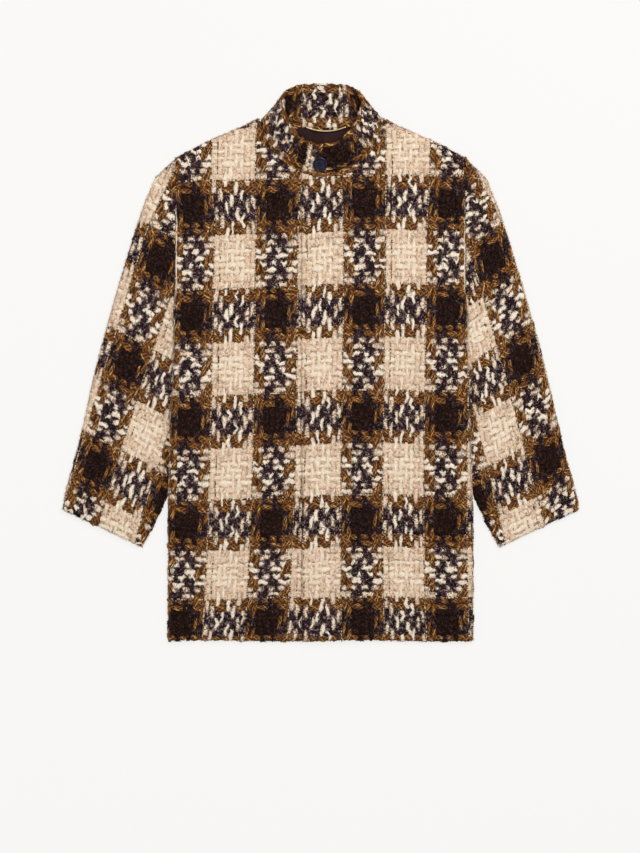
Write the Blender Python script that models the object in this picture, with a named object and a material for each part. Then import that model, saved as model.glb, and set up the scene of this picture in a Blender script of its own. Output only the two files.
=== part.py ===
"""Short coat of chunky checked cloth, laid flat on a surface with its front up.

X runs across the coat (wearer's left at +X), Y from the hem to the collar, Z up from the surface.
The origin is on the surface, under the middle of the coat's box.
Every size below is in millimetres and every mesh is in metres.
"""

import math

import bpy
import numpy as np

MM = 0.001

# Cloth and seams
CLOTH = 4.0
LINING_CLOTH = 1.0
SEAM_GAP = 0.3
LAYER_GAP = 0.9
BODY_FOLD_RADIUS = 6.0
SLEEVE_FOLD_RADIUS = 5.0
PUFF_REACH = 40.0

# Body, half of its width at each level
HEM_Y = -457.0
UNDERARM_Y = 104.0
UNDERARM_UNROLL = 42.0
BODY_EDGE = (
    # level, y, half_width
    ("hem", HEM_Y, 251.0),
    ("hip", -243.0, 250.0),
    ("waist", -94.0, 245.0),
    ("underarm", UNDERARM_Y, 238.5),
    ("chest", 228.0, 237.0),
    ("shoulder_tip", 338.0, 237.0),
)
SHOULDER_EDGE = (
    # place, x, y
    ("neck_point", 104.0, 401.4),
    ("yoke", 140.0, 384.5),
    ("middle", 180.0, 368.0),
    ("outer", 213.0, 351.5),
    ("tip", 237.0, 338.0),
)
HEM_WAVE = 1.2
HEM_WAVE_LENGTH = 240.0

# Front closing
CLOSING_X = -30.0
UNDERLAP_X = 30.0
OVERLAP_RISE = CLOTH + 0.4
OVERLAP_FLAT_X = 46.0
OVERLAP_END_X = 90.0

# Neck and collar
NECK_X = 3.0
NECK_Y = 400.0
NECK_HALF_WIDTH = 98.0
NECK_DEPTH_FRONT = 88.0
NECK_DEPTH_BACK = 14.0
NECK_GAP = 1.5
NECK_CORNER_X = 96.0
NECK_RAISE = 3.5
NECK_RAISE_REACH = 50.0
COLLAR_TOP_Y = 430.0
COLLAR_TOP_HALF_WIDTH = 63.5
COLLAR_TOP_DEPTH_FRONT = 73.0
COLLAR_TOP_RISE_BACK = 29.0
COLLAR_TOP_ROUNDNESS_FRONT = 2.0
COLLAR_TOP_ROUNDNESS_BACK = 3.0
COLLAR_NECK_HEIGHT = 10.0
COLLAR_TOP_HEIGHT = 25.0
COLLAR_SEAM_FOLD = (83.0, 98.0)
COLLAR_TOP_FOLD = (58.0, 128.0)
COLLAR_BULGE = 2.0
COLLAR_UNDER_END_X = 30.0

# Sleeves
SLEEVE_OUTER_EDGE = (
    # place, x, y
    ("shoulder_tip", 237.6, 337.7),
    ("cap", 261.5, 318.5),
    ("cap_side", 275.0, 300.0),
    ("upper", 293.0, 254.0),
    ("bicep", 317.5, 178.0),
    ("above_elbow", 346.5, 79.0),
    ("elbow", 372.5, -20.0),
    ("forearm", 395.0, -119.0),
    ("wrist", 407.5, -168.0),
    ("flare", 421.0, -216.0),
    ("cuff", 425.0, -241.0),
)
SLEEVE_INNER_EDGE = (
    # place, x, y
    ("underarm", 240.5, 103.0),
    ("tuck_start", 241.0, 50.0),
    ("tuck_upper", 224.0, 0.0),
    ("tuck_deepest", 205.0, -60.0),
    ("tuck_lower", 206.0, -115.0),
    ("tuck_end", 224.0, -165.0),
    ("clear_of_body", 252.0, -214.0),
    ("forearm", 268.0, -254.0),
    ("cuff", 294.0, -303.0),
)
ARMHOLE_X = 237.6
SLEEVE_TOP_Y = 329.0
SLEEVE_MIDDLE = (330.0, 0.0)
OUTER_LENGTH_AT_UNDERARM = 280.0
TUCK_LIFT = 10.6
TUCK_LIFT_Y = (-300.0, -222.0, 45.0, 104.0)
TUCK_LIFT_X = (115.0, 190.0)

# Soft ridges in the upper layer
FRONT_FOLDS = (
    # place, x, y, half_length, half_width, direction_degrees, height
    ("left_hem", -150.0, -330.0, 150.0, 34.0, 84.0, 2.6),
    ("right_hem", 168.0, -350.0, 120.0, 38.0, 95.0, 2.2),
    ("left_underarm", -165.0, 60.0, 95.0, 26.0, 52.0, 2.0),
    ("right_underarm", 150.0, 40.0, 110.0, 28.0, 128.0, 2.4),
    ("chest", 96.0, 190.0, 120.0, 40.0, 78.0, 1.8),
    ("waist", -70.0, -120.0, 140.0, 40.0, 97.0, 1.8),
)
SLEEVE_FOLDS = (
    # place, x, y, half_length, half_width, direction_degrees, height
    ("cap", 272.0, 200.0, 80.0, 24.0, 112.0, 2.2),
    ("elbow_upper", 318.0, -30.0, 62.0, 20.0, 25.0, 2.4),
    ("elbow_lower", 326.0, -88.0, 55.0, 18.0, 33.0, 2.0),
    ("wrist", 352.0, -205.0, 70.0, 22.0, 100.0, 1.6),
)

# Lining, hanging bar and button
LINING_X = (-76.0, 82.0)
LINING_BOTTOM_Y = 300.0
LINING_TOP_LAP = 3.0
HANGER_PATH = (
    # place, x, y
    ("left_end", -25.0, 389.0),
    ("left_bend", -9.0, 383.8),
    ("middle", 9.0, 381.6),
    ("right_bend", 27.0, 383.8),
    ("right_end", 43.0, 389.0),
)
HANGER_RADIUS = 1.9
HANGER_POINTS = 25
BUTTON_X = -1.0
BUTTON_HEIGHT_SHARE = 0.32
BUTTON_RADIUS = 12.0
BUTTON_HOLES = 4
BUTTON_HOLE_RADIUS = 1.1
BUTTON_HOLE_SPREAD = 2.7
BUTTON_PROFILE = (
    # place, radius, height
    ("middle_top", 0.0, 2.8),
    ("dish", 8.2, 3.0),
    ("rim_inside", 9.6, 3.9),
    ("rim_top", 10.8, 4.1),
    ("rim_shoulder", 11.7, 3.5),
    ("rim_outside", BUTTON_RADIUS, 2.4),
    ("waist", 11.4, 1.0),
    ("foot", 9.8, 0.0),
    ("middle_bottom", 0.0, 0.0),
)
BUTTON_SIDES = 32
BUTTON_HOLE_SIDES = 10
BUTTON_LIFT = CLOTH / 2.0 + 2.0 * SEAM_GAP

# Mesh rows and columns
ROLL_ANGLES = (0.0, 24.0, 48.0, 70.0, 90.0)
LEFT_NECK_COLUMNS = (-10.0, 8.0, 26.0, 43.0, 59.0, 73.0, 84.0, 92.0, 98.5)
RIGHT_NECK_COLUMNS = (10.0, -8.0, -26.0, -42.0, -56.5, -69.0, -79.0, -86.5, -92.0)
BACK_NECK_COLUMNS = (0.0, 30.0, 57.0, 79.0, 92.0, 99.5)
SIDE_COLUMNS = (104.0, 124.0, 152.0, 180.0, 207.0)
FLARE_FROM_X = 30.0
BODY_ROWS = 19
SHOULDER_ROW_STRETCH = 1.15
SLEEVE_COLUMNS = 7
SLEEVE_COLUMN_STRETCH = 1.1
MOST_ROLL_SHARE = 0.4
ARMHOLE_RINGS = 7
SLEEVE_RINGS = 12
COLLAR_ROWS = 5
COLLAR_RIBS = 12
LINING_COLUMNS = 13
LINING_ROWS = 6
COLLAR_SIDE_TURNS = (78.0, 82.0, 85.0, 87.5, 90.0, 92.5, 95.0, 98.0, 103.0)
EDGE_POINTS = 260
MERGE_DISTANCE = 0.01

# Colours and finish
MATERIALS = {
    # name: (colour, roughness, metallic)
    "checked_cloth": ((0.30, 0.20, 0.12), 0.9, 0.0),
    "brown_satin": ((0.045, 0.022, 0.018), 0.4, 0.0),
    "gilt_metal": ((0.72, 0.50, 0.17), 0.25, 1.0),
    "navy_plastic": ((0.020, 0.026, 0.045), 0.4, 0.0),
}


def smoothstep(low, high, value):
    share = np.clip((value - low) / (high - low), 0.0, 1.0)
    return share * share * (3.0 - 2.0 * share)


def columns_of(table, *indexes):
    return [np.array([row[index] for row in table]) for index in indexes]


def smooth_table(knots, values, at):
    """A smooth curve through a table's rows, read at the given places."""
    slopes = np.gradient(values, knots)
    span = np.clip(np.searchsorted(knots, at, "right") - 1, 0, len(knots) - 2)
    width = knots[span + 1] - knots[span]
    share = np.clip((at - knots[span]) / width, 0.0, 1.0)
    rest = 1.0 - share
    ends = (1.0 + 2.0 * share) * rest**2 * values[span] + share**2 * (3.0 - 2.0 * share) * values[span + 1]
    return ends + width * (share * rest**2 * slopes[span] - share**2 * rest * slopes[span + 1])


def even_curve(table, count):
    """Evenly spaced points on a smooth curve through the places in a table."""
    places = np.stack(columns_of(table, 1, 2), axis=1)
    knots = np.concatenate([[0.0], np.cumsum(np.linalg.norm(np.diff(places, axis=0), axis=1))])
    fine = np.linspace(0.0, knots[-1], 4 * EDGE_POINTS)
    curve = np.stack([smooth_table(knots, axis, fine) for axis in places.T], axis=1)
    along = np.concatenate([[0.0], np.cumsum(np.linalg.norm(np.diff(curve, axis=0), axis=1))])
    even = np.linspace(0.0, along[-1], count)
    return np.stack([np.interp(even, along, axis) for axis in curve.T], axis=1), along[-1]


def along_curve(curve, shares):
    """Points at the given shares of an evenly spaced curve's length."""
    steps = np.linspace(0.0, 1.0, len(curve))
    return np.stack([np.interp(shares, steps, axis) for axis in curve.T], axis=1)


def fold_edge(points, inside, roll):
    """A folded edge: its points, the directions into the cloth, and how far it rolls over at each point."""
    along = np.gradient(points, axis=0)
    along /= np.linalg.norm(along, axis=1)[:, None]
    inward = np.stack([-along[:, 1], along[:, 0]], axis=1)
    if np.sum(inward * (np.asarray(inside) - points)) < 0:
        inward = -inward
    return points, along, inward, np.broadcast_to(roll, len(points))


def distance_inside(plan, edge):
    """For each plan point, its distance inside a folded edge, the way in, and the roll there."""
    points, along, inward, roll = edge
    offset = plan[:, None, :] - points[None, :, :]
    nearest = np.argmin(np.sum(offset**2, axis=2), axis=1)
    offset = offset[np.arange(len(plan)), nearest]
    depth = np.sum(offset * inward[nearest], axis=1)
    past = np.sum(offset * along[nearest], axis=1)
    spacing = np.linalg.norm(points[1] - points[0])
    beyond = ((nearest == 0) & (past < -spacing)) | ((nearest == len(points) - 1) & (past > spacing))
    straight = np.linalg.norm(offset, axis=1)
    depth = np.where(beyond, straight, np.maximum(depth, 0.0))
    way_in = np.where(beyond[:, None], offset / np.maximum(straight, 1e-6)[:, None], inward[nearest])
    return depth, way_in, roll[nearest]


def cloth_layer(plan, edges, radius, upper, wall=CLOTH, height=None):
    """Outer and inner points of one layer: flat in the middle and rolled over at its folded edges."""
    shape = plan.shape[:2]
    flat_plan = plan.reshape(-1, 2)
    if height is None:
        height = 2.0 * CLOTH + LAYER_GAP if upper else 0.0
    facing = 1.0 if upper else -1.0
    puff = np.zeros(len(flat_plan))
    drop = np.zeros(len(flat_plan))
    normal = np.tile([0.0, 0.0, facing], (len(flat_plan), 1))
    for edge in edges:
        depth, way_in, roll = distance_inside(flat_plan, edge)
        level = np.clip(1.0 - depth / radius, 0.0, 1.0)
        upright = np.sqrt(1.0 - level**2)
        edge_drop = roll * (radius - SEAM_GAP / 2.0) * (1.0 - upright)
        puff = np.maximum(puff, roll * (1.0 - smoothstep(radius, radius + PUFF_REACH, depth)))
        turn = np.concatenate(
            [-way_in * (roll * level)[:, None], facing * np.maximum(upright, 1.0 - roll)[:, None]], axis=1
        )
        turn /= np.linalg.norm(turn, axis=1)[:, None]
        more = edge_drop > drop
        normal[more] = turn[more]
        drop = np.maximum(drop, edge_drop)
    if upper:
        level = height + puff * (2.0 * radius - height) - drop
    else:
        level = height + drop
    outer = np.concatenate([flat_plan, level[:, None]], axis=1)
    inner = outer - wall * normal
    return outer.reshape(*shape, 3), inner.reshape(*shape, 3)


def raised(layer, rise):
    """Both faces of a layer, moved up by a function of their place."""
    for points in layer:
        points[..., 2] += rise(points[..., 0], points[..., 1])
    return layer


def wall_mesh(layer):
    """Points and faces of the closed wall between a layer's outer and inner faces."""
    outer, inner = layer
    rows, columns = outer.shape[:2]
    points = np.concatenate([outer.reshape(-1, 3), inner.reshape(-1, 3)])
    index = np.arange(rows * columns).reshape(rows, columns)
    below = index + rows * columns
    faces = []
    for row in range(rows - 1):
        for column in range(columns - 1):
            corner = (row + 1, column + 1)
            first_half = ((row, column), (row, column + 1), corner)
            second_half = ((row, column), corner, (row + 1, column))
            for triangle in (first_half, second_half):
                faces.append([int(index[place]) for place in triangle])
                faces.append([int(below[place]) for place in reversed(triangle)])
    loop = [(0, column) for column in range(columns)]
    loop += [(row, columns - 1) for row in range(1, rows)]
    loop += [(rows - 1, column) for column in range(columns - 2, -1, -1)]
    loop += [(row, 0) for row in range(rows - 2, 0, -1)]
    for first, second in zip(loop, loop[1:] + loop[:1]):
        faces.append([int(index[second]), int(index[first]), int(below[first]), int(below[second])])
    return points, faces


def facing_out(points, faces):
    """The faces, turned round if the closed mesh would be inside out."""
    corners = [(face[0], face[k], face[k + 1]) for face in faces for k in range(1, len(face) - 1)]
    volume = np.linalg.det(points[np.array(corners)]).sum()
    return faces if volume > 0 else [face[::-1] for face in faces]


def half_width(y):
    level, width = columns_of(BODY_EDGE, 1, 2)
    return smooth_table(level, width, y)


def hem_y(x):
    return HEM_Y + HEM_WAVE * np.sin(2.0 * math.pi * x / HEM_WAVE_LENGTH)


def shoulder_y(x):
    place, height = columns_of(SHOULDER_EDGE, 1, 2)
    return smooth_table(place, height, np.abs(x))


def neck_edge_y(x):
    """Lower edge of the front neck at x, cut a gap outside the collar's seam."""
    share = np.clip((x - NECK_X) / (NECK_HALF_WIDTH + NECK_GAP), -1.0, 1.0)
    return NECK_Y - (NECK_DEPTH_FRONT + NECK_GAP) * np.sqrt(1.0 - share**2)


def front_top_y(x):
    """Upper edge of a front: the neck seam, a short corner, then the shoulder."""
    neck_point = SHOULDER_EDGE[0]
    across = x - NECK_X
    corner_x = NECK_X + np.copysign(NECK_CORNER_X, across)
    neck = neck_edge_y(np.where(np.abs(across) < NECK_CORNER_X, x, corner_x))
    start = np.abs(corner_x)
    share = smoothstep(start, neck_point[1], np.abs(x))
    inside = neck + share * (neck_point[2] - neck)
    return np.where(np.abs(x) >= neck_point[1], shoulder_y(x), inside)


def back_top_y(x):
    """Upper edge of the back: the back neck seam, then the shoulder."""
    neck_point = SHOULDER_EDGE[0]
    across = np.clip((x - NECK_X) / neck_point[1], -1.0, 1.0)
    bottom = NECK_Y - NECK_DEPTH_BACK - NECK_GAP
    neck = bottom + (neck_point[2] - bottom) * (1.0 - np.sqrt(1.0 - across**2))
    return np.where(np.abs(x) >= neck_point[1], shoulder_y(x), neck)


def column_x(reference, y):
    """Place of a column at a level: upright at the closing, and following the side seam further out."""
    flare = half_width(y) / SHOULDER_EDGE[-1][1] - 1.0
    return reference * (1.0 + flare * smoothstep(FLARE_FROM_X, SIDE_COLUMNS[0], np.abs(reference)))


def side_columns():
    """Columns from the neck point out to the rolled side edge."""
    roll_depths = BODY_FOLD_RADIUS * (1.0 - np.cos(np.radians(ROLL_ANGLES[::-1])))
    return list(SIDE_COLUMNS) + list(SHOULDER_EDGE[-1][1] - roll_depths)


def body_plan(columns, top_y):
    """Plan grid of a body panel, from the hem (first row) to the shoulder and neck (last row)."""
    columns = np.sort(np.array(columns))
    roll_depths = BODY_FOLD_RADIUS * (1.0 - np.cos(np.radians(ROLL_ANGLES)))
    top = top_y(columns)
    low = hem_y(columns)
    below_roll = top - roll_depths[-1] * SHOULDER_ROW_STRETCH
    rows = [low + share * (below_roll - low) for share in np.linspace(0.0, 1.0, BODY_ROWS)[:-1]]
    rows += [top - depth * SHOULDER_ROW_STRETCH for depth in roll_depths[::-1]]
    return np.array([np.stack([column_x(columns, y), y], axis=1) for y in rows])


def side_edges(side):
    """The folded edges of one side of the body: side seam and shoulder."""
    y = np.linspace(HEM_Y - HEM_WAVE, UNDERARM_Y + UNDERARM_UNROLL, EDGE_POINTS)
    seam = np.stack([side * half_width(y), y], axis=1)
    seam_roll = 1.0 - smoothstep(UNDERARM_Y, UNDERARM_Y + UNDERARM_UNROLL, y)
    x = np.linspace(SHOULDER_EDGE[0][1], SHOULDER_EDGE[-1][1], EDGE_POINTS)
    shoulder = np.stack([side * x, shoulder_y(x)], axis=1)
    return [fold_edge(seam, (0.0, 0.0), seam_roll), fold_edge(shoulder, (0.0, 0.0), 1.0)]


def tuck_lift(x, y):
    """Rise of the body's sides where they lie on the tucked part of the sleeves."""
    low, low_full, high_full, high = TUCK_LIFT_Y
    along = smoothstep(low, low_full, y) * (1.0 - smoothstep(high_full, high, y))
    return TUCK_LIFT * along * smoothstep(*TUCK_LIFT_X, np.abs(x))


def fold_rise(table, x, y):
    """Height of the soft ridges in a table, at a place."""
    rise = np.zeros(np.shape(x))
    for _, fold_x, fold_y, half_length, half_wide, direction, height in table:
        turn = math.radians(direction)
        along = (x - fold_x) * math.cos(turn) + (y - fold_y) * math.sin(turn)
        across = (y - fold_y) * math.cos(turn) - (x - fold_x) * math.sin(turn)
        rise += height * np.exp(-((along / half_length) ** 2) - (across / half_wide) ** 2)
    return rise


def overlap_rise(x):
    return OVERLAP_RISE * (1.0 - smoothstep(OVERLAP_FLAT_X, OVERLAP_END_X, x))


def front_rise(x, y):
    """Rise of the fronts over the sleeves, at the neck and in the soft ridges."""
    reach = np.hypot((x - NECK_X) / NECK_HALF_WIDTH, np.minimum(y - NECK_Y, 0.0) / NECK_DEPTH_FRONT) - 1.0
    away = np.maximum(reach, 0.0) * (NECK_HALF_WIDTH + NECK_DEPTH_FRONT) / 2.0
    tip = smoothstep(SHOULDER_EDGE[-1][1], SHOULDER_EDGE[0][1], np.abs(x))
    neck = NECK_RAISE * np.exp(-away / NECK_RAISE_REACH) * tip
    return tuck_lift(x, y) + neck + fold_rise(FRONT_FOLDS, x, y)


def over_front_rise(x, y):
    return front_rise(x, y) + overlap_rise(x)


def back_layer():
    half = list(BACK_NECK_COLUMNS) + side_columns()
    plan = body_plan(half + [-x for x in half[1:]], back_top_y)
    layer = cloth_layer(plan, side_edges(-1.0) + side_edges(1.0), BODY_FOLD_RADIUS, upper=False)
    return raised(layer, tuck_lift)


def front_left_layer():
    plan = body_plan([CLOSING_X, *LEFT_NECK_COLUMNS, *side_columns()], front_top_y)
    layer = cloth_layer(plan, side_edges(1.0), BODY_FOLD_RADIUS, upper=True)
    return raised(layer, over_front_rise)


def front_right_layer():
    plan = body_plan([UNDERLAP_X, *RIGHT_NECK_COLUMNS, *[-x for x in side_columns()]], front_top_y)
    layer = cloth_layer(plan, side_edges(-1.0), BODY_FOLD_RADIUS, upper=True)
    return raised(layer, front_rise)


def sleeve_plan():
    """Plan grid of the left sleeve, ring by ring from shoulder tip to cuff, and its folded edges."""
    outer, outer_length = even_curve(SLEEVE_OUTER_EDGE, EDGE_POINTS)
    inner, _ = even_curve(SLEEVE_INNER_EDGE, EDGE_POINTS)
    armhole_y = np.linspace(SLEEVE_TOP_Y, SLEEVE_INNER_EDGE[0][2], ARMHOLE_RINGS)
    armhole_x = np.linspace(ARMHOLE_X, SLEEVE_INNER_EDGE[0][1], ARMHOLE_RINGS)
    cap_share = OUTER_LENGTH_AT_UNDERARM / outer_length
    outer_shares = np.concatenate(
        [np.linspace(0.0, cap_share, ARMHOLE_RINGS), np.linspace(cap_share, 1.0, SLEEVE_RINGS + 1)[1:]]
    )
    inner_shares = np.linspace(0.0, 1.0, SLEEVE_RINGS + 1)[1:]
    starts = along_curve(outer, outer_shares)
    ends = np.concatenate([np.stack([armhole_x, armhole_y], axis=1), along_curve(inner, inner_shares)])
    depths = SLEEVE_FOLD_RADIUS * (1.0 - np.cos(np.radians(ROLL_ANGLES))) * SLEEVE_COLUMN_STRETCH
    plan = []
    for start, end in zip(starts, ends):
        length = np.linalg.norm(end - start)
        reach = min(1.0, MOST_ROLL_SHARE * length / depths[-1])
        near = depths * reach / length
        middle = np.linspace(near[-1], 1.0 - near[-1], SLEEVE_COLUMNS + 2)[1:-1]
        shares = np.concatenate([near, middle, 1.0 - near[::-1]])
        plan.append(start + shares[:, None] * (end - start))
    edges = [fold_edge(outer, SLEEVE_MIDDLE, 1.0), fold_edge(inner, SLEEVE_MIDDLE, 1.0)]
    return np.array(plan), edges


def sleeve_layers(side):
    """Upper and lower layers of one sleeve."""
    plan, edges = sleeve_plan()
    top = cloth_layer(plan, edges, SLEEVE_FOLD_RADIUS, upper=True)
    raised(top, lambda x, y: fold_rise(SLEEVE_FOLDS, x, y))
    under = cloth_layer(plan, edges, SLEEVE_FOLD_RADIUS, upper=False)
    for points in (*top, *under):
        beside_body = points[..., 1] > UNDERARM_Y
        points[..., 0] = np.where(beside_body, np.maximum(points[..., 0], ARMHOLE_X), points[..., 0])
    turn = np.array([side, 1.0, 1.0])
    return [[points * turn for points in layer] for layer in (top, under)]


def collar_heights(turn, x, over):
    """Height of the collar's seam and of its top edge above the surface."""
    rise = overlap_rise(x) if over else 0.0
    low = CLOTH / 2.0
    angle = np.degrees(np.abs(turn))
    seam = low + (COLLAR_NECK_HEIGHT + rise - low) * (1.0 - smoothstep(*COLLAR_SEAM_FOLD, angle))
    top = low + (COLLAR_TOP_HEIGHT + rise - low) * (1.0 - smoothstep(*COLLAR_TOP_FOLD, angle))
    return seam, top


def collar_rib(turn, over):
    """Seam point and top point of the collar at an angle round the neck, 0 at the front."""
    sine = math.sin(turn)
    cosine = math.cos(turn)
    power = 2.0 / (COLLAR_TOP_ROUNDNESS_FRONT if cosine > 0.0 else COLLAR_TOP_ROUNDNESS_BACK)
    seam_x = NECK_X + NECK_HALF_WIDTH * sine
    top_x = NECK_X + COLLAR_TOP_HALF_WIDTH * math.copysign(abs(sine) ** power, sine)
    if cosine > 0.0:
        seam_y = NECK_Y - NECK_DEPTH_FRONT * cosine
        top_y = COLLAR_TOP_Y - COLLAR_TOP_DEPTH_FRONT * cosine**power
    else:
        seam_y = NECK_Y - NECK_DEPTH_BACK * abs(cosine)
        top_y = COLLAR_TOP_Y + COLLAR_TOP_RISE_BACK * abs(cosine) ** power
    seam_z, top_z = collar_heights(turn, seam_x, over)
    return np.array([seam_x, seam_y, seam_z]), np.array([top_x, top_y, top_z])


def collar_turns():
    """Angles of the collar's ribs from its over end, round the back, to its under end."""
    over_end = math.degrees(math.asin((CLOSING_X - NECK_X) / NECK_HALF_WIDTH))
    under_end = math.degrees(math.asin((COLLAR_UNDER_END_X - NECK_X) / NECK_HALF_WIDTH))
    first_side = COLLAR_SIDE_TURNS[0]
    last_side = COLLAR_SIDE_TURNS[-1]
    right = list(np.linspace(over_end, first_side, COLLAR_RIBS)[:-1]) + list(COLLAR_SIDE_TURNS)
    back = list(np.linspace(last_side, 360.0 - last_side, COLLAR_RIBS)[1:-1])
    left = [360.0 - turn for turn in reversed(COLLAR_SIDE_TURNS)]
    left += list(np.linspace(360.0 - first_side, 360.0 + under_end, COLLAR_RIBS)[1:])
    return np.radians(right + back + left)


def collar_middle():
    """Middle surface of the collar, rib by rib."""
    ribs = []
    for turn in collar_turns():
        over = turn < math.pi
        angle = turn if over else turn - 2.0 * math.pi
        seam, top = collar_rib(angle, over)
        share = np.linspace(0.0, 1.0, COLLAR_ROWS)
        rib = seam + share[:, None] * (top - seam)
        rib[:, 2] += COLLAR_BULGE * np.sin(math.pi * share) ** 2 * max(0.0, math.cos(angle))
        ribs.append(rib)
    return np.array(ribs)


def surface_normals(grid):
    across = np.cross(np.gradient(grid, axis=0), np.gradient(grid, axis=1))
    return across / np.linalg.norm(across, axis=2)[..., None]


def collar_layer():
    middle = collar_middle()
    normal = surface_normals(middle)
    return middle + normal * CLOTH / 2.0, middle - normal * CLOTH / 2.0


def lining_layer():
    x = np.linspace(*LINING_X, LINING_COLUMNS)
    top = back_top_y(x) + LINING_TOP_LAP
    share = np.linspace(0.0, 1.0, LINING_ROWS)[:, None]
    y = LINING_BOTTOM_Y + share * (top - LINING_BOTTOM_Y)
    plan = np.stack([np.broadcast_to(x, y.shape), y], axis=2)
    height = CLOTH + SEAM_GAP + LINING_CLOTH
    return cloth_layer(plan, [], BODY_FOLD_RADIUS, upper=True, wall=LINING_CLOTH, height=height)


def cloth_material(name):
    colour, roughness, metallic = MATERIALS[name]
    material = bpy.data.materials.new(name)
    material.use_nodes = True
    shader = material.node_tree.nodes["Principled BSDF"]
    shader.inputs["Base Color"].default_value = (*colour, 1.0)
    shader.inputs["Roughness"].default_value = roughness
    shader.inputs["Metallic"].default_value = metallic
    return material


def add_object(name, data, material):
    made = bpy.data.objects.new(name, data)
    made.data.materials.append(material)
    bpy.context.scene.collection.objects.link(made)
    return made


def add_wall(name, layer, material, shift):
    points, faces = wall_mesh(layer)
    faces = facing_out(points, faces)
    mesh = bpy.data.meshes.new(name)
    mesh.from_pydata(((points + shift) * MM).tolist(), [], faces)
    mesh.shade_smooth()
    return add_object(name, mesh, material)


def add_hanger(material, shift):
    """Gilt bar that lies in a shallow curve on the lining under the back neck."""
    path, _ = even_curve(HANGER_PATH, HANGER_POINTS)
    height = CLOTH + SEAM_GAP + LINING_CLOTH + SEAM_GAP + HANGER_RADIUS
    curve = bpy.data.curves.new("hanger_loop", "CURVE")
    curve.dimensions = "3D"
    curve.bevel_depth = HANGER_RADIUS * MM
    curve.bevel_resolution = 2
    curve.use_fill_caps = True
    spline = curve.splines.new("POLY")
    spline.points.add(len(path) - 1)
    for point, (x, y) in zip(spline.points, path):
        place = (np.array([x, y, height]) + shift) * MM
        point.co = (*place, 1.0)
    return add_object("hanger_loop", curve, material)


def button_place():
    """Foot of the button on the collar's outer face, and the face's tilt there."""
    turn = math.asin((BUTTON_X - NECK_X) / NECK_HALF_WIDTH)
    seam, top = collar_rib(turn, True)
    along = top - seam
    tilt = math.atan2(along[2], math.hypot(along[0], along[1]))
    middle = seam + BUTTON_HEIGHT_SHARE * along
    middle[0] = BUTTON_X
    middle[2] += COLLAR_BULGE * math.sin(math.pi * BUTTON_HEIGHT_SHARE) ** 2
    return middle + BUTTON_LIFT * np.array([0.0, -math.sin(tilt), math.cos(tilt)]), tilt


def add_button(material, shift):
    """Turned four-hole button with a raised rim."""
    points = [(radius * MM, 0.0, height * MM) for _, radius, height in BUTTON_PROFILE]
    mesh = bpy.data.meshes.new("button")
    mesh.from_pydata(points, [(k, k + 1) for k in range(len(points) - 1)], [])
    button = add_object("button", mesh, material)
    turned = button.modifiers.new("turned", "SCREW")
    turned.steps = BUTTON_SIDES
    turned.render_steps = BUTTON_SIDES
    turned.use_merge_vertices = True
    turned.merge_threshold = MERGE_DISTANCE * MM
    for number in range(BUTTON_HOLES):
        angle = 2.0 * math.pi * (number + 0.5) / BUTTON_HOLES
        spread = BUTTON_HOLE_SPREAD * MM
        hole = button_hole(number)
        hole.location = (spread * math.cos(angle), spread * math.sin(angle), 0.0)
        hole.parent = button
        cut = button.modifiers.new(f"hole_{number + 1}", "BOOLEAN")
        cut.operation = "DIFFERENCE"
        cut.object = hole
    foot, tilt = button_place()
    button.location = (foot + shift) * MM
    button.rotation_euler = (tilt, 0.0, 0.0)
    return button


def button_hole(number):
    """Round cutter, longer than the button is thick."""
    sides = BUTTON_HOLE_SIDES
    reach = BUTTON_RADIUS * MM
    radius = BUTTON_HOLE_RADIUS * MM
    angles = [2.0 * math.pi * k / sides for k in range(sides)]
    points = [(radius * math.cos(a), radius * math.sin(a), z) for z in (-reach, reach) for a in angles]
    faces = [[k, (k + 1) % sides, sides + (k + 1) % sides, sides + k] for k in range(sides)]
    faces += [list(range(sides))[::-1], list(range(sides, 2 * sides))]
    mesh = bpy.data.meshes.new(f"button_hole_{number + 1}")
    mesh.from_pydata(points, [], faces)
    cutter = bpy.data.objects.new(f"button_hole_{number + 1}", mesh)
    cutter.hide_render = True
    cutter.display_type = "WIRE"
    bpy.context.scene.collection.objects.link(cutter)
    return cutter


def main():
    for old in list(bpy.data.objects):
        bpy.data.objects.remove(old, do_unlink=True)
    materials = {name: cloth_material(name) for name in MATERIALS}
    left_top, left_under = sleeve_layers(1.0)
    right_top, right_under = sleeve_layers(-1.0)
    layers = {
        "back": back_layer(),
        "front_right": front_right_layer(),
        "front_left": front_left_layer(),
        "top_sleeve_left": left_top,
        "under_sleeve_left": left_under,
        "top_sleeve_right": right_top,
        "under_sleeve_right": right_under,
        "collar": collar_layer(),
    }
    corners = np.concatenate([points.reshape(-1, 3) for layer in layers.values() for points in layer])
    low = corners.min(axis=0)
    high = corners.max(axis=0)
    shift = -np.array([(low[0] + high[0]) / 2.0, (low[1] + high[1]) / 2.0, low[2]])
    for name, layer in layers.items():
        add_wall(name, layer, materials["checked_cloth"], shift)
    add_wall("lining_back", lining_layer(), materials["brown_satin"], shift)
    add_hanger(materials["gilt_metal"], shift)
    add_button(materials["navy_plastic"], shift)


main()
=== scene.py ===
"""Looks of the short coat: woven yarns, lining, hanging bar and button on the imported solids.

Sizes are in millimetres, and meshes are in metres.
"""

import math

import bmesh
import bpy
import numpy as np
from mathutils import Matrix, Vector
from mathutils.bvhtree import BVHTree


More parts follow.
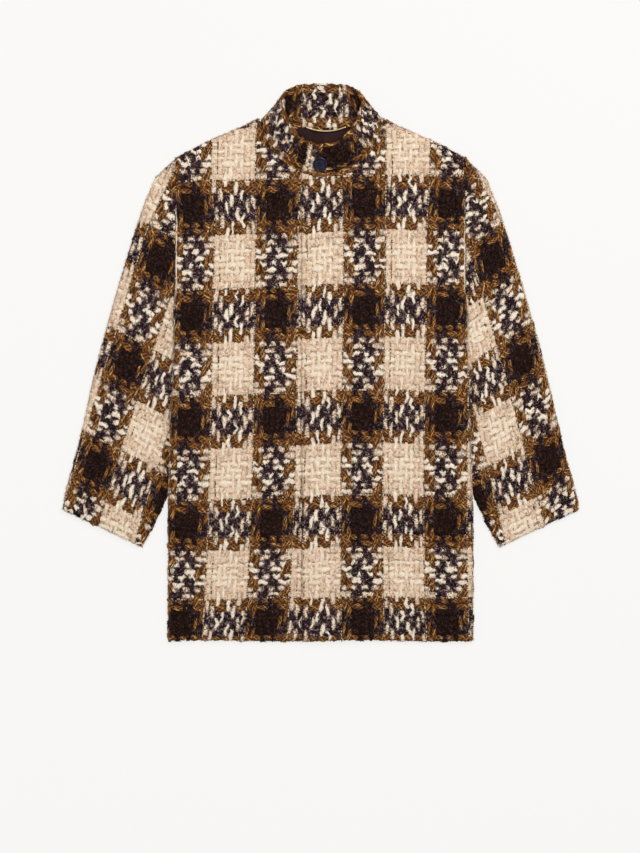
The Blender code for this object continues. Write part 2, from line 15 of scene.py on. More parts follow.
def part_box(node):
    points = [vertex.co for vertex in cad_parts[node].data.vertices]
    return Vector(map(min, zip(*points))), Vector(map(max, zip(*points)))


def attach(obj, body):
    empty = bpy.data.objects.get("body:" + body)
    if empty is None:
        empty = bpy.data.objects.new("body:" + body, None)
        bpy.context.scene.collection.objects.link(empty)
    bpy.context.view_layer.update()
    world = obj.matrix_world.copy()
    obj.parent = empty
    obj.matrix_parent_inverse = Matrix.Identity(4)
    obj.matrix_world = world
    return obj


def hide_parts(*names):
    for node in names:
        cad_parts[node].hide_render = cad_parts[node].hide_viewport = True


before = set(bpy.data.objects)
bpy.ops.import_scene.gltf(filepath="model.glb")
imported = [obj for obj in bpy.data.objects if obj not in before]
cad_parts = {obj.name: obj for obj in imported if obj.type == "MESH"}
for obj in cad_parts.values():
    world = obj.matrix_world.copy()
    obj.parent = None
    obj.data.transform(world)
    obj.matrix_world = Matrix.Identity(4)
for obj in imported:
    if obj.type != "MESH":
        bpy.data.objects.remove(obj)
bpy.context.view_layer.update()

MM = 0.001
SEED = 20

# Scale of the photograph, and the pixel over the frame's origin
IMAGE_SIZE = (640, 853)
MM_PER_PIXEL = 1.65
ORIGIN_PIXEL = (320.5, 362.78)

# One repeat of the check, the same in warp and weft, and the phase of each end in the broken twill
CHECK = (("brown", 2), ("dark", 4), ("brown", 2), ("tan", 2), ("cream", 4), ("tan", 2))
CHART = [yarn for yarn, count in CHECK for _ in range(count)]
REPEAT = len(CHART)
TWILL = (0, 1, 3, 2)
TWILL_REPEAT = len(TWILL)
BINDER_ENDS = (0.0, 8.0, 9.2)
BINDER_PICKS = (0.0,)
BINDER_FLOAT = 3

YARNS = ("brown", "dark", "tan", "cream", "binder", "rim", "fold", "seam", "cream_seam_highlight", "painted_shade_seam")
YARN_FORM = {
    # yarn: (width over pitch, half thickness, height of its middle, unevenness, wander,
    # dip, lean, reach, end width)
    "brown": (1.28, 1.80, -0.25, 0.08, 0.05, 2.2, 0.26, 0.64, 0.42),
    "dark": (1.40, 2.10, -0.45, 0.16, 0.10, 2.0, 0.10, 0.42, 0.42),
    "tan": (1.30, 1.50, -0.40, 0.12, 0.08, 1.4, 0.04, 0.52, 0.55),
    "cream": (0.84, 1.42, -0.40, 0.20, 0.16, 1.6, 0.08, 0.52, 0.50),
    "binder": (0.28, 0.80, 0.40, 0.10, 0.06, 1.4, 0.0, 0.42, 0.42),
    "rim": (0.42, 1.10, 0.10, 0.14, 0.06, 0.8, 0.10, 0.45, 0.45),
    "fold": (0.95, 1.60, 0.40, 0.14, 0.08, 1.0, 0.05, 0.45, 0.50),
    "seam": (0.62, 1.50, 0.80, 0.10, 0.06, 1.2, 0.20, 0.50, 0.45),
    # Seam threads along the armholes: the cream one doubles as a painted highlight, the dark one is painted
    # shade
    "cream_seam_highlight": (0.30, 1.10, -0.30, 0.10, 0.04, 0.6, 0.0, 0.60, 0.60),
    "painted_shade_seam": (0.40, 1.10, -0.80, 0.10, 0.04, 0.6, 0.0, 0.60, 0.60),
}
REACH_SPREAD = 0.10
WIDTH_SPREAD = 0.09
HEIGHT_SPREAD = 0.22
LEAN_SPREAD = 0.08
SWELL = 1.3
FLOAT_RISE = 0.60
FLOAT_SQUARENESS = 0.8
LOWER_HALF = 0.7
ROUND_SHARE = 0.45
FINE_STATIONS = (0.0, 0.13, 0.29, 0.5, 0.71, 0.87, 1.0)
FINE_SIDES = 6
COARSE_STATIONS = (0.0, 0.3, 0.7, 1.0)
COARSE_SIDES = 4
KNOTS = 5
UNDERSIDE_FLATNESS = 0.4

# Tone of each yarn, and how much a float narrows among yarns of another tone
LIGHTNESS = {"brown": 0.3, "tan": 1.0, "cream": 1.0, "rim": 0.3, "fold": 1.0, "seam": 0.3}
RAGGEDNESS = {"brown": 0.3, "dark": 0.9, "tan": 0.9, "cream": 0.9, "fold": 0.9}
NARROWING = {"brown": 0.06, "dark": 0.22, "tan": 0.24, "cream": -0.08}
OVER_DARK = {"brown": (0.62, 0.80)}
WEFT_FULLNESS = 1.06
CALM_DIP = 0.6
CALM_WANDER = 0.35
CURL = {"tan": 0.7, "cream": 1.0}
CURL_AMOUNT = {"collar": 0.26, "panel": 0.13}
CURL_SPREAD = (0.4, 1.2)
CALM_CURL = 0.4

# Finer form on the floats: lumps, hairs, fringe and strands, by shares of the length and angles round it
LUMPS = {
    # yarn: (lumps on a float, height, half width)
    "dark": (6, 1.2, 1.1),
    "tan": (24, 0.9, 1.05),
    "cream": (3, 0.7, 1.0),
    "fold": (12, 0.9, 1.05),
}
LUMP_SPAN = (0.10, 0.90)
LUMP_ANGLE = (20.0, 160.0)
LUMP_TIP_ANGLE = (5.0, 175.0)
LUMP_LEAN = (10.0, 0.03)
LUMP_RISE = (0.4, 1.0)
HAIRS = {
    # yarn: (most hairs on a float, longest hair, half width of its root)
    "brown": (8, 3.0, 0.50),
    "dark": (24, 4.2, 0.95),
    "tan": (18, 2.9, 0.70),
    "cream": (18, 3.4, 0.70),
    "rim": (10, 2.4, 0.40),
    "fold": (12, 2.9, 0.70),
}
HAIR_SPAN = (0.08, 0.92)
HAIR_ANGLE = (25.0, 65.0)
HAIR_LEAN = 0.09
HAIR_REACH = (0.3, 1.0)
HAIR_LEVEL = (1.2, 2.3)
NONE = (0, 0.0, 0.0)
SPIKE_SEAT = -0.15
FRINGE_HAIRS = 4
FRINGE_YARNS = ("brown", "tan", "tan", "tan")
FRINGE_LENGTH = (0.6, 3.2)
FRINGE_DROP = (0.5, 3.5)
FRINGE_ASIDE = (-2.0, 2.0)
FRINGE_SEAT = 0.6
FRINGE_SWAY = (1.2, 0.5)
FRINGE_ROOT = 0.55
STRANDS = 3
PLIED = ("brown", "seam")
STRAND_STATIONS = 6
STRAND_HALF_WIDTH = 0.50
STRAND_HEIGHT = 0.7
STRAND_SEAT = 0.05
STRAND_TIP = 0.04
STRAND_RANGES = (
    # least and most: start, length, first angle, sweep of the angle
    (0.06, 0.52), (0.26, 0.46), (80.0, 155.0), (20.0, 75.0),
)

# Where the chart lies on each panel, in the photograph's pixels
LAYS = {
    # panel: (first corner of a dark square, step of an end, step of a pick)
    "front_left": ((255.6, 285.0), (5.36, 0.0), (0.0, 6.6)),
    "front_right": ((256.7, 288.0), (5.5, 0.0), (-0.16, 6.6)),
    "sleeve_right": ((115.0, 326.1), (4.74, 2.26), (-2.0, 6.47)),
    "sleeve_left": ((535.3, 325.2), (-4.74, 2.26), (1.66, 6.44)),
}

# Picks of the fronts lie closer together away from this pick, by its square
BOWS = {
    # panel: (shift at the middle, middle pick, bow)
    "front_left": (0.12, 12.1, 0.00058),
    "front_right": (0.20, 7.9, 0.00069),
}

# Over the shoulders the ends lie wider apart and the picks closer
SHOULDERS = {
    # panel: (picks where it begins and is full, end that stays, spread of an end, most spread,
    # squeeze of a pick)
    "front_left": ((-9.0, -17.0), 24.2, 0.059, 0.70, 0.08),
    "front_right": ((-9.0, -17.0), 3.4, 0.082, 0.88, 0.076),
}

# Ends and picks in one unit of bend_terms()
BEND_SCALE = (20.0, 30.0)

# Bends of a panel's cloth: the ends and picks they change over, then the shifts of its ends and of its picks,
# each over the terms of bend_terms()
BENDS = {
    "front_left": (
        (9.0, 31.5), (-12.0, 56.0),
        (0.355, 0.393, -0.076, -0.464, -0.152, -0.746, -0.111, 0.345, 0.286),
        (0.902, -1.953, -0.719, 0.828, 0.563, 0.76, -0.008, -0.319, -0.202),
    ),
    "front_right": (
        (-15.0, 5.0), (-12.0, 56.0),
        (-0.251, -1.204, 0.435, -0.253, 0.494, 0.048, -0.217, -0.237, -0.228),
        (-0.127, -0.721, 0.168, -0.417, -0.386, 0.293, -0.358, 0.261, -0.226),
    ),
    "sleeve_right": (
        (-6.0, 22.0), (-30.0, 36.0),
        (0.581, -0.366, 0.095, -0.058, -1.79, -0.064, 0.254, 0.808, 0.42),
        (0.444, 0.378, -0.312, 0.481, -0.216, -0.717, 0.288, -1.046, 0.946),
    ),
    "sleeve_left": (
        (-6.0, 22.0), (-30.0, 36.0),
        (0.585, -0.573, -0.536, -0.528, -0.566, 0.632, 1.299, 0.875, -0.758),
        (-0.608, 2.902, -0.086, -0.894, -0.363, -0.212, -1.909, 1.678, -1.227),
    ),
}

# Ends crowd where the cloth rolls over a sleeve's outer edge, out from this end
ROLLS = {"sleeve_left": 0.6}
ROLL_END = 1.4
ROLL_EASE = 2.0

# Ends of a sleeve's cloth lean towards the body above this pick, by this many ends a pick
CAP_PICK = -14.0
CAP_LEAN = 0.22
CAP_EASE = 2.0
INVERSE_ROUNDS = 12

# Yarn along the armhole seams: over part of its length a cream thread that doubles as a painted highlight on
# the seam's edge, elsewhere a dark thread as painted shade in the seam
ARMHOLE_X = 237.2
ARMHOLE_Y = (46.0, 345.0)
ARMHOLE_STEP = 18.0
ARMHOLE_HIGHLIGHT = (125.0, 258.0)

# Cloth
CLOTH = 4.0
SHELL_INSET = 0.5
MAP_STEP = 3.0
MAP_MARGIN = 12.0
EDGE_ROUNDING = 1.0
EDGE_DROP = 4.5
EDGE_SKIP = 2.0
EDGE_INSET = 0.1
EDGE_KNOB = 1.8
KNOB_WAVES = ((0.45, 0.52), (-0.31, 0.38))
FLOOR_CLEARANCE = 0.15
CLOSING_X = -30.0
HIDDEN_UNDER_FRONT = 10.0
HIDDEN_UNDER_BODY = 225.0
ARMPIT_Y = 90.0

# Collar, from its seam to its top edge at each angle round the neck
NECK_X = 3.0
NECK_Y = 400.0
NECK_HALF_WIDTH = 98.0
NECK_DEPTH_FRONT = 88.0
NECK_DEPTH_BACK = 14.0
COLLAR_TOP_Y = 430.0
COLLAR_TOP_HALF_WIDTH = 63.5
COLLAR_TOP_DEPTH_FRONT = 73.0
COLLAR_TOP_RISE_BACK = 29.0
COLLAR_TOP_ROUNDNESS = (2.0, 3.0)
COLLAR_NECK_HEIGHT = 10.0
COLLAR_TOP_HEIGHT = 25.0
COLLAR_SEAM_FOLD = (83.0, 98.0)
COLLAR_TOP_FOLD = (58.0, 128.0)
COLLAR_BULGE = 2.0
COLLAR_END_X = (-30.0, 30.0)
OVERLAP_RISE = CLOTH + 0.4
OVERLAP_FADE = (46.0, 90.0)
COLLAR_ENDS = (
    # angle round the neck, warp end there
    (-24.0, -1.5), (-14.0, 0.0), (1.0, 2.0), (33.0, 6.0), (50.0, 8.0), (92.0, 16.0), (104.0, 18.0),
    (138.0, 22.0), (152.0, 24.0), (177.0, 28.0), (201.0, 32.0), (218.0, 34.0), (253.0, 38.0), (268.0, 40.0),
    (319.0, 48.0), (333.0, 50.0), (380.0, 56.0),
)
COLLAR_PICKS_FRONT = (1.3, 7.5)
COLLAR_PICKS_BACK = (0.6, 7.9)
COLLAR_PITCHES = (8.6, 8.8)
COLLAR_STEP = 0.25
COLLAR_KNOB = 1.6
COLLAR_KNOB_WAVES = (2.3, 3.1)
RIM_INSET = 0.25
FOLD_INSETS = (0.5, 1.3)
FOLD_STEP = 1.15
COLLAR_FRONTNESS = (-0.4, 0.6)
FOLD_START = 0.8
FOLD_STOP = 0.6
FINE_TURN = math.radians(0.5)
HALF_TURN = 3.14

# Brown pick on the upper front along the neck seam, over this span
SEAM_X = (-26.0, 54.0)
SEAM_STEP = 13.0
SEAM_INSET = 4.5

# Lining and hanging bar
LINING_X = (-76.0, 82.0)
LINING_BOTTOM_Y = 300.0
LINING_HEIGHT = 5.3
LINING_CLOTH = 0.8
BACK_NECK_Y = 384.5
NECK_POINT = (104.0, 401.4)
LINING_LAP = 3.0
LINING_TUCK = (4.0, 1.0)
LINING_GRID = (72, 40)
LINING_CALM = 14.0
LINING_OPEN_Y = ((312.0, 335.0), (364.0, 377.0))
LINING_DRIFT = 0.35
LINING_DRIFT_Y = 350.0
LINING_FOLD = 1.3
LINING_WAVES = (
    # height, length, phase: two along the folds, then one across them
    (0.9, 11.0, 0.0), (0.6, 5.3, 1.0), (0.4, 17.0, 0.0),
)
BAR_X = (-25.0, 43.0)
BAR_MIDDLE_X = 9.0
BAR_CURVE = 0.0064
BAR_RADIUS = 1.75
BAR_POINTS = 49
BAR_SIDES = 16
BAR_END_RINGS = 4
BAR_END_START = 0.12

# Button and its stitches
BUTTON_TILT = 0.321
# Radius of the groove's painted shade ring, and how far painted shade reaches round each hole
GROOVE_RADIUS = 8.8
BUTTON_HOLE_SHADE_REACH = 2.1
BUTTON_DISH = 0.1
BUTTON_HOLE_GAP = 1.9
BUTTON_STITCH = 4.6
STITCH_RISE = 1.1
STITCH_RADIUS = 0.6
STITCH_POINTS = 13
STITCH_SIDES = 10

# Meshes: distance that welds a solid's corners, and margin round each form on the flat layout
WELD = 0.01
LAYOUT_MARGIN = 0.04

# Materials: yarns with another yarn's material, tones of the ground, specks, plies and rub marks
TWINS = {"rim": "brown", "seam": "brown", "fold": "tan", "cream_seam_highlight": "cream", "painted_shade_seam": "dark"}
EDGE_TONES = ((0.3, "#2A180C"), (0.45, "#7A4C22"), (0.6, "#C09A76"))
GAP_TONES = {"brown": "#3E230A", "dark": "#130C0D", "tan": "#D8BBA0", "cream": "#E0C5AA"}
UPRIGHT_BELOW = 0.6
SEED_SPREAD = 97.0
SPECK_SEED = 31.0
SPECK_GRAIN = (0.36, 1.5, 0.6)
SPECK_ASIDE = 0.045
SPECK_SHARPNESS = 18.0
SPECK_MOST = 0.9
PLY_WIDTH = 4.2
RUB = (0.12, 0.2)
SATIN_CHANGE_Y = 0.358
SATIN_CHANGE_STEEPNESS = 50.0

# Stage, in metres
FLOOR_REACH = 3.0
FLOOR_COLOUR = (0.13, 0.129, 0.127, 1.0)
FLOOR_GLOW = "#F8F7F5"
FLOOR_GLOW_STRENGTH = 0.862
WORLD_COLOUR = (1.0, 0.99, 0.97, 1.0)
WORLD_STRENGTH = 0.5
LIGHT_TARGET = (0.0, -0.05, 0.0)
LIGHTS = (
    # name, place, size, power
    ("key", (1.2, 1.4, 2.6), 1.6, 57.0),
    ("fill", (-1.6, 0.2, 2.4), 1.8, 19.0),
)
CAMERA_HEIGHT = 4.0
SENSOR = 36.0


def smoothstep(low, high, value):
    share = np.clip((value - low) / (high - low), 0.0, 1.0)
    return share * share * (3.0 - 2.0 * share)


def plan_of_pixel(pixel):
    """Plan place, in millimetres, of a pixel of the photograph."""
    x, y = pixel
    return np.array([(x - ORIGIN_PIXEL[0]) * MM_PER_PIXEL, (ORIGIN_PIXEL[1] - y) * MM_PER_PIXEL])


def plan_of_step(step):
    return np.array([step[0], -step[1]]) * MM_PER_PIXEL


def bend_terms(end, pick):
    u, v = end / BEND_SCALE[0], pick / BEND_SCALE[1]
    return np.stack([np.ones_like(u), u, v, u * u, u * v, v * v, u * u * v, u * v * v, v ** 3], axis=-1)


class Lay:
    """Place of the chart on a face: where a thread coordinate falls, and the pitches in millimetres."""

    def __init__(
        self, corner, end_step, pick_step, pitches=None, bend=None, shoulder=None,
        bow=(0.0, 0.0, 0.0), lean=0.0, roll=0.0,
    ):
        self.bend = bend
        self.shoulder = shoulder
        self.bow = bow
        self.lean = lean
        self.roll = roll
        self.corner = np.asarray(corner, float)
        self.steps = np.stack([end_step, pick_step], axis=1).astype(float)
        self.pitches = pitches or tuple(np.linalg.norm(self.steps, axis=0))
        self.turn = np.sign(np.linalg.det(self.steps))

    def bent(self, end, pick):
        """Thread coordinates on a straight cloth of the place where a thread coordinate lies."""
        if self.bend:
            end_range, pick_range, end_shift, pick_shift = self.bend
            terms = bend_terms(np.clip(end, *end_range), np.clip(pick, *pick_range))
            end, pick = end + terms @ np.array(end_shift), pick + terms @ np.array(pick_shift)
        if self.shoulder:
            picks, still_end, spread, most, squeeze = self.shoulder
            moved = np.clip(spread * (end - still_end), -most, most)
            end = end + smoothstep(*picks, pick) * moved
            pick = pick + squeeze * np.maximum(picks[1] - pick, 0.0)
        above = np.maximum(CAP_PICK - pick, 0.0)
        end = end + self.lean * (np.hypot(above, CAP_EASE) - CAP_EASE)
        out = np.maximum(ROLL_END - end, 0.0)
        end = end + self.roll * (np.hypot(out, ROLL_EASE) - ROLL_EASE)
        shift, middle, bow = self.bow
        return end, pick + shift - bow * (pick - middle) ** 2

    def place(self, end, pick):
        end, pick = self.bent(end, pick)
        return self.corner + end[..., None] * self.steps[:, 0] + pick[..., None] * self.steps[:, 1]

    def threads(self, places):
        """Thread coordinates of plan places."""
        straight = np.linalg.solve(self.steps, (places - self.corner).T)
        found = straight
        for _ in range(INVERSE_ROUNDS):
            found = straight - (np.array(self.bent(*found)) - found)
        return found.T


def photo_lay(panel):
    corner, end_step, pick_step = LAYS[panel]
    steps = (plan_of_step(end_step), plan_of_step(pick_step))
    bow = BOWS.get(panel, (0.0, 0.0, 0.0))
    lean = CAP_LEAN if panel.startswith("sleeve") else 0.0
    return Lay(
        plan_of_pixel(corner), *steps, bend=BENDS[panel], shoulder=SHOULDERS.get(panel),
        bow=bow, lean=lean, roll=ROLLS.get(panel, 0.0),
    )


class Surface:
    """Points and normals of one face of the cloth on a regular grid of two coordinates."""

    def __init__(self, low, step, points, normals, beyond, rim=()):
        self.rim = rim
        self.low = np.asarray(low, float)
        self.step = np.asarray(step, float)
        self.points = points
        self.normals = normals
        self.beyond = beyond
        across = np.cross(np.gradient(points, axis=1), np.gradient(points, axis=0))
        self.turn = np.sign(np.sum(across * normals))

    def corners(self):
        rows, columns = self.points.shape[:2]
        size = self.step * (columns - 1, rows - 1)
        return np.array([self.low + size * corner for corner in ((0, 0), (0, 1), (1, 0), (1, 1))])

    def at(self, places):
        """Points, unit normals and distance past the cloth's edge at the given coordinates."""
        rows, columns = self.points.shape[:2]
        spot = (places - self.low) / self.step
        column = np.clip(spot[..., 0], 0.0, columns - 1.001)
        row = np.clip(spot[..., 1], 0.0, rows - 1.001)
        left = column.astype(int)
        down = row.astype(int)
        right_share = column - left
        up_share = row - down
        point = normal = beyond = 0.0
        for row_add, row_share in ((0, 1.0 - up_share), (1, up_share)):
            for column_add, column_share in ((0, 1.0 - right_share), (1, right_share)):
                share = row_share * column_share
                index = (down + row_add, left + column_add)
                point = point + self.points[index] * share[..., None]
                normal = normal + self.normals[index] * share[..., None]
                beyond = beyond + self.beyond[index] * share
        return point, normal / np.linalg.norm(normal, axis=-1)[..., None], beyond


def wrapped(point, normal, outward, past):
    """Point and normal a distance past an edge, turned over it and then down along it."""
    tilt = math.asin(float(np.clip(np.dot(normal, outward), -1.0, 1.0)))
    up = normal - outward * math.sin(tilt)
    up = up / max(np.linalg.norm(up), 1e-6)
    turn = min(tilt + past / EDGE_ROUNDING, math.pi / 2.0)
    fall = min(past - (turn - tilt) * EDGE_ROUNDING, EDGE_DROP)
    moved = outward * (math.sin(turn) - math.sin(tilt)) + up * (math.cos(turn) - math.cos(tilt))
    return point + EDGE_ROUNDING * moved - up * fall, outward * math.sin(turn) + up * math.cos(turn)


def panel_surface(node, facing):
    """The face of a panel that looks up (facing 1) or down (facing -1), read from its solid."""
    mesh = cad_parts[node].data
    corners = [vertex.co.copy() for vertex in mesh.vertices]
    faces = [tuple(face.vertices) for face in mesh.polygons]
    solid = BVHTree.FromPolygons(corners, faces)
    outline = BVHTree.FromPolygons([Vector((c.x, c.y, 0.0)) for c in corners], faces)
    low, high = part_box(node)
    xs = np.arange(low.x / MM - MAP_MARGIN, high.x / MM + MAP_MARGIN + MAP_STEP, MAP_STEP)
    ys = np.arange(low.y / MM - MAP_MARGIN, high.y / MM + MAP_MARGIN + MAP_STEP, MAP_STEP)
    points = np.zeros((len(ys), len(xs), 3))
    normals = np.zeros((len(ys), len(xs), 3))
    beyond = np.zeros((len(ys), len(xs)))
    into_cloth = Vector((0.0, 0.0, -facing))
    rim = []

    def cast(x, y):
        return solid.ray_cast(Vector((x * MM, y * MM, facing)), into_cloth)

    for row, y in enumerate(ys):
        for column, x in enumerate(xs):
            point, normal, _, _ = cast(x, y)
            if point is not None:
                points[row, column] = np.array(point) / MM
                normals[row, column] = normal
                continue
            edge, _, _, _ = outline.find_nearest(Vector((x * MM, y * MM, 0.0)))
            edge = np.array(edge)[:2] / MM
            away = np.array([x, y]) - edge
            past = float(np.linalg.norm(away))
            away = away / max(past, 1e-6)
            point, normal, _, _ = cast(*(edge - EDGE_INSET * away))
            if point is None:
                point, normal, _, _ = solid.find_nearest(Vector((*(edge * MM), 0.0)))
            outward = np.array([*away, 0.0])
            made = wrapped(np.array(point) / MM, np.array(normal), outward, past)
            points[row, column], normals[row, column] = made
            if facing > 0:
                points[row, column] += outward * EDGE_KNOB * np.prod(np.sin(KNOB_WAVES @ edge)).clip(0.0)
            beyond[row, column] = past
            if past < MAP_STEP:
                rim.append(((*edge, point.z / MM), outward))
    return Surface((xs[0], ys[0]), (MAP_STEP, MAP_STEP), points, normals, beyond, rim)


def collar_ribs(turn):
    """Seam points, top points and bulge of the collar at angles from its over end round to its under end."""
    over = turn < math.pi
    angle = np.where(over, turn, turn - 2.0 * math.pi)
    sine = np.sin(angle)
    cosine = np.cos(angle)
    front = cosine > 0.0
    power = 2.0 / np.where(front, *COLLAR_TOP_ROUNDNESS)
    reach = np.where(front, -COLLAR_TOP_DEPTH_FRONT, COLLAR_TOP_RISE_BACK)
    seam_x = NECK_X + NECK_HALF_WIDTH * sine
    seam_y = NECK_Y - np.where(front, NECK_DEPTH_FRONT, NECK_DEPTH_BACK) * np.abs(cosine)
    top_x = NECK_X + COLLAR_TOP_HALF_WIDTH * np.sign(sine) * np.abs(sine) ** power
    top_y = COLLAR_TOP_Y + reach * np.abs(cosine) ** power
    rise = np.where(over, OVERLAP_RISE * (1.0 - smoothstep(*OVERLAP_FADE, seam_x)), 0.0)
    low = CLOTH / 2.0
    degrees = np.degrees(np.abs(angle))
    seam_z = low + (COLLAR_NECK_HEIGHT + rise - low) * (1.0 - smoothstep(*COLLAR_SEAM_FOLD, degrees))
    top_z = low + (COLLAR_TOP_HEIGHT + rise - low) * (1.0 - smoothstep(*COLLAR_TOP_FOLD, degrees))
    seam = np.stack([seam_x, seam_y, seam_z], axis=-1)
    top = np.stack([top_x, top_y, top_z], axis=-1)
    return seam, top, COLLAR_BULGE * np.maximum(0.0, cosine)


COLLAR_TURNS = np.radians([angle for angle, _ in COLLAR_ENDS])
COLLAR_WARP = np.array([end for _, end in COLLAR_ENDS])
COLLAR_FIRST_TURN = math.asin((COLLAR_END_X[0] - NECK_X) / NECK_HALF_WIDTH)
COLLAR_LAST_TURN = math.asin((COLLAR_END_X[1] - NECK_X) / NECK_HALF_WIDTH) + 2.0 * math.pi


def collar_span():
    """First and last warp end of the collar."""
    return np.interp((COLLAR_FIRST_TURN, COLLAR_LAST_TURN), COLLAR_TURNS, COLLAR_WARP)


def collar_threads(ends):
    """Angle round the neck, and the picks at the top edge and at the seam, for warp ends of the collar."""
    turns = np.clip(np.interp(ends, COLLAR_WARP, COLLAR_TURNS), COLLAR_FIRST_TURN, COLLAR_LAST_TURN)
    frontness = smoothstep(*COLLAR_FRONTNESS, np.cos(turns))
    first_pick, last_pick = (
        back + (front - back) * frontness for front, back in zip(COLLAR_PICKS_FRONT, COLLAR_PICKS_BACK)
    )
    return turns, first_pick, last_pick


def collar_edges():
    """Floats of the brown pick over the collar's top edge, and of the light end at its over edge."""
    first_end, last_end = collar_span()
    ends = np.arange(first_end, last_end - 1.0, 2.0)
    _, picks, _ = collar_threads(ends + 1.0)
    rows = [(0, end, pick + RIM_INSET, 2, YARNS.index("rim"), 0.0) for end, pick in zip(ends, picks)]
    _, first_pick, last_pick = collar_threads(first_end)
    for add, inset in enumerate(FOLD_INSETS):
        start = first_pick + FOLD_START + 0.5 * add * FOLD_STEP
        for pick in np.arange(start, last_pick - FOLD_STOP, FOLD_STEP):
            rows.append((1, first_end + inset, pick, 1, YARNS.index("fold"), 0.0))
    return rows


def neck_edge(lay):
    """Floats of the brown pick on the upper front along the neck seam."""
    rows = []
    for x in np.arange(*SEAM_X, SEAM_STEP):
        y = NECK_Y - NECK_DEPTH_FRONT * math.sqrt(1.0 - ((x - NECK_X) / NECK_HALF_WIDTH) ** 2) - SEAM_INSET
        end, pick = lay.threads(np.array([[x, y]]))[0]
        rows.append((0, end, pick, 1, YARNS.index("seam"), 0.0))
    return rows


def collar_surface(side, shift):
    """The collar's outer (side 1) or inner (side -1) face, over thread coordinates."""
    first_end, last_end = collar_span()
    margin = 4.0 * COLLAR_STEP
    ends = np.arange(first_end - margin, last_end + margin, COLLAR_STEP)
    turns, first_pick, last_pick = collar_threads(ends)
    picks = np.arange(-1.0, COLLAR_PICKS_BACK[1] + margin, COLLAR_STEP)
    down = (picks[:, None] - first_pick) / (last_pick - first_pick)
    height = 1.0 - np.clip(down, 0.0, 1.0)

    def middle_at(seam, top, bulge):
        middle = seam + height[..., None] * (top - seam)
        middle[..., 2] += bulge * np.sin(math.pi * height) ** 2
        return middle

    seam, top, bulge = collar_ribs(turns)
    middle = middle_at(seam, top, bulge)
    later = turns + FINE_TURN
    later = middle_at(*collar_ribs(np.where(turns < math.pi, np.minimum(later, HALF_TURN), later)))
    round_way = later - middle
    up_way = np.broadcast_to(top - seam, middle.shape).copy()
    up_way[..., 2] += 2.0 * math.pi * bulge * np.sin(math.pi * height) * np.cos(math.pi * height)
    normals = side * np.cross(round_way, up_way)
    lengths = np.linalg.norm(normals, axis=2)
    normals /= np.maximum(lengths, 1e-9)[..., None]
    points = middle + normals * CLOTH / 2.0 + shift
    if side > 0:
        end_wave, pick_wave = COLLAR_KNOB_WAVES
        knobs = np.outer(np.sin(pick_wave * picks), np.sin(end_wave * ends))
        points += normals * COLLAR_KNOB * np.maximum(knobs, 0.0)[..., None]
    beyond = np.zeros(points.shape[:2])
    up_way /= np.linalg.norm(up_way, axis=2)[..., None]
    round_way /= np.maximum(np.linalg.norm(round_way, axis=2), 1e-9)[..., None]
    for spot in np.ndindex(*beyond.shape):
        column = spot[1]
        tall = (last_pick - first_pick)[column]
        for past, pitch, outward in (
            (max(0.0, -down[spot]) * tall, COLLAR_PITCHES[1], up_way[spot]),
            (max(0.0, down[spot] - 1.0) * tall, COLLAR_PITCHES[1], -up_way[spot]),
            (max(0.0, first_end - ends[column]), COLLAR_PITCHES[0], -round_way[spot]),
            (max(0.0, ends[column] - last_end), COLLAR_PITCHES[0], round_way[spot]),
        ):
            if past > 0.0:
                points[spot], normals[spot] = wrapped(points[spot], normals[spot], outward, past * pitch)
                beyond[spot] += past * pitch
    return Surface((ends[0], picks[0]), (COLLAR_STEP, COLLAR_STEP), points, normals, beyond)


def warp_over(end, pick):
    """Whether the warp end lies over the weft pick."""
    return (pick - TWILL[end % TWILL_REPEAT]) % TWILL_REPEAT < 2


def float_table(ends, picks, more):
    """Every float that shows: whether it is warp, first end and pick, length in threads, yarn, tone below."""
    rows = list(more)

    def tone(first, length):
        return sum(LIGHTNESS.get(CHART[(first + add) % REPEAT], 0.0) for add in range(length)) / length

    for end in range(*ends):
        for pick in range(*picks):
            over = warp_over(end, pick)
            if over and not warp_over(end, pick - 1):
                rows.append((1, end + 0.5, pick, 2, YARNS.index(CHART[end % REPEAT]), tone(pick, 2)))
            if not over and warp_over(end - 1, pick):
                length = 1 if warp_over(end + 1, pick) else 2
                yarn = YARNS.index(CHART[pick % REPEAT])
                rows.append((0, end, pick + 0.5, length, yarn, tone(end, length)))
    binder = YARNS.index("binder")
    for first in range(ends[0] - ends[0] % REPEAT, ends[1], REPEAT):
        for pick in range(picks[0], picks[1], BINDER_FLOAT + 1):
            rows += [(1, first + add, pick, BINDER_FLOAT, binder, 0.0) for add in BINDER_ENDS]
    for first in range(picks[0] - picks[0] % REPEAT, picks[1], REPEAT):
        for end in range(ends[0], ends[1], BINDER_FLOAT + 1):
            rows += [(0, end, first + add, BINDER_FLOAT, binder, 0.0) for add in BINDER_PICKS]
    return np.array(rows, float)


SPIKE_CORNERS = ((0.1, 0.1), (0.9, 0.1), (0.5, 0.9))
SPIKE_FACES = [(corners, SPIKE_CORNERS) for corners in ((0, 1, 2), (0, 3, 1), (1, 3, 2), (2, 3, 0))]
SPIKE_TURNS = 2.0 * np.pi * np.arange(3) / 3.0


def outward_spikes(points):
    """Spikes of three root corners and a tip, in the order that turns their faces outwards."""
    inside_out = np.linalg.det(points[:, 1:] - points[:, :1]) > 0.0
    points[inside_out] = points[inside_out][:, [0, 2, 1, 3]]
    return points


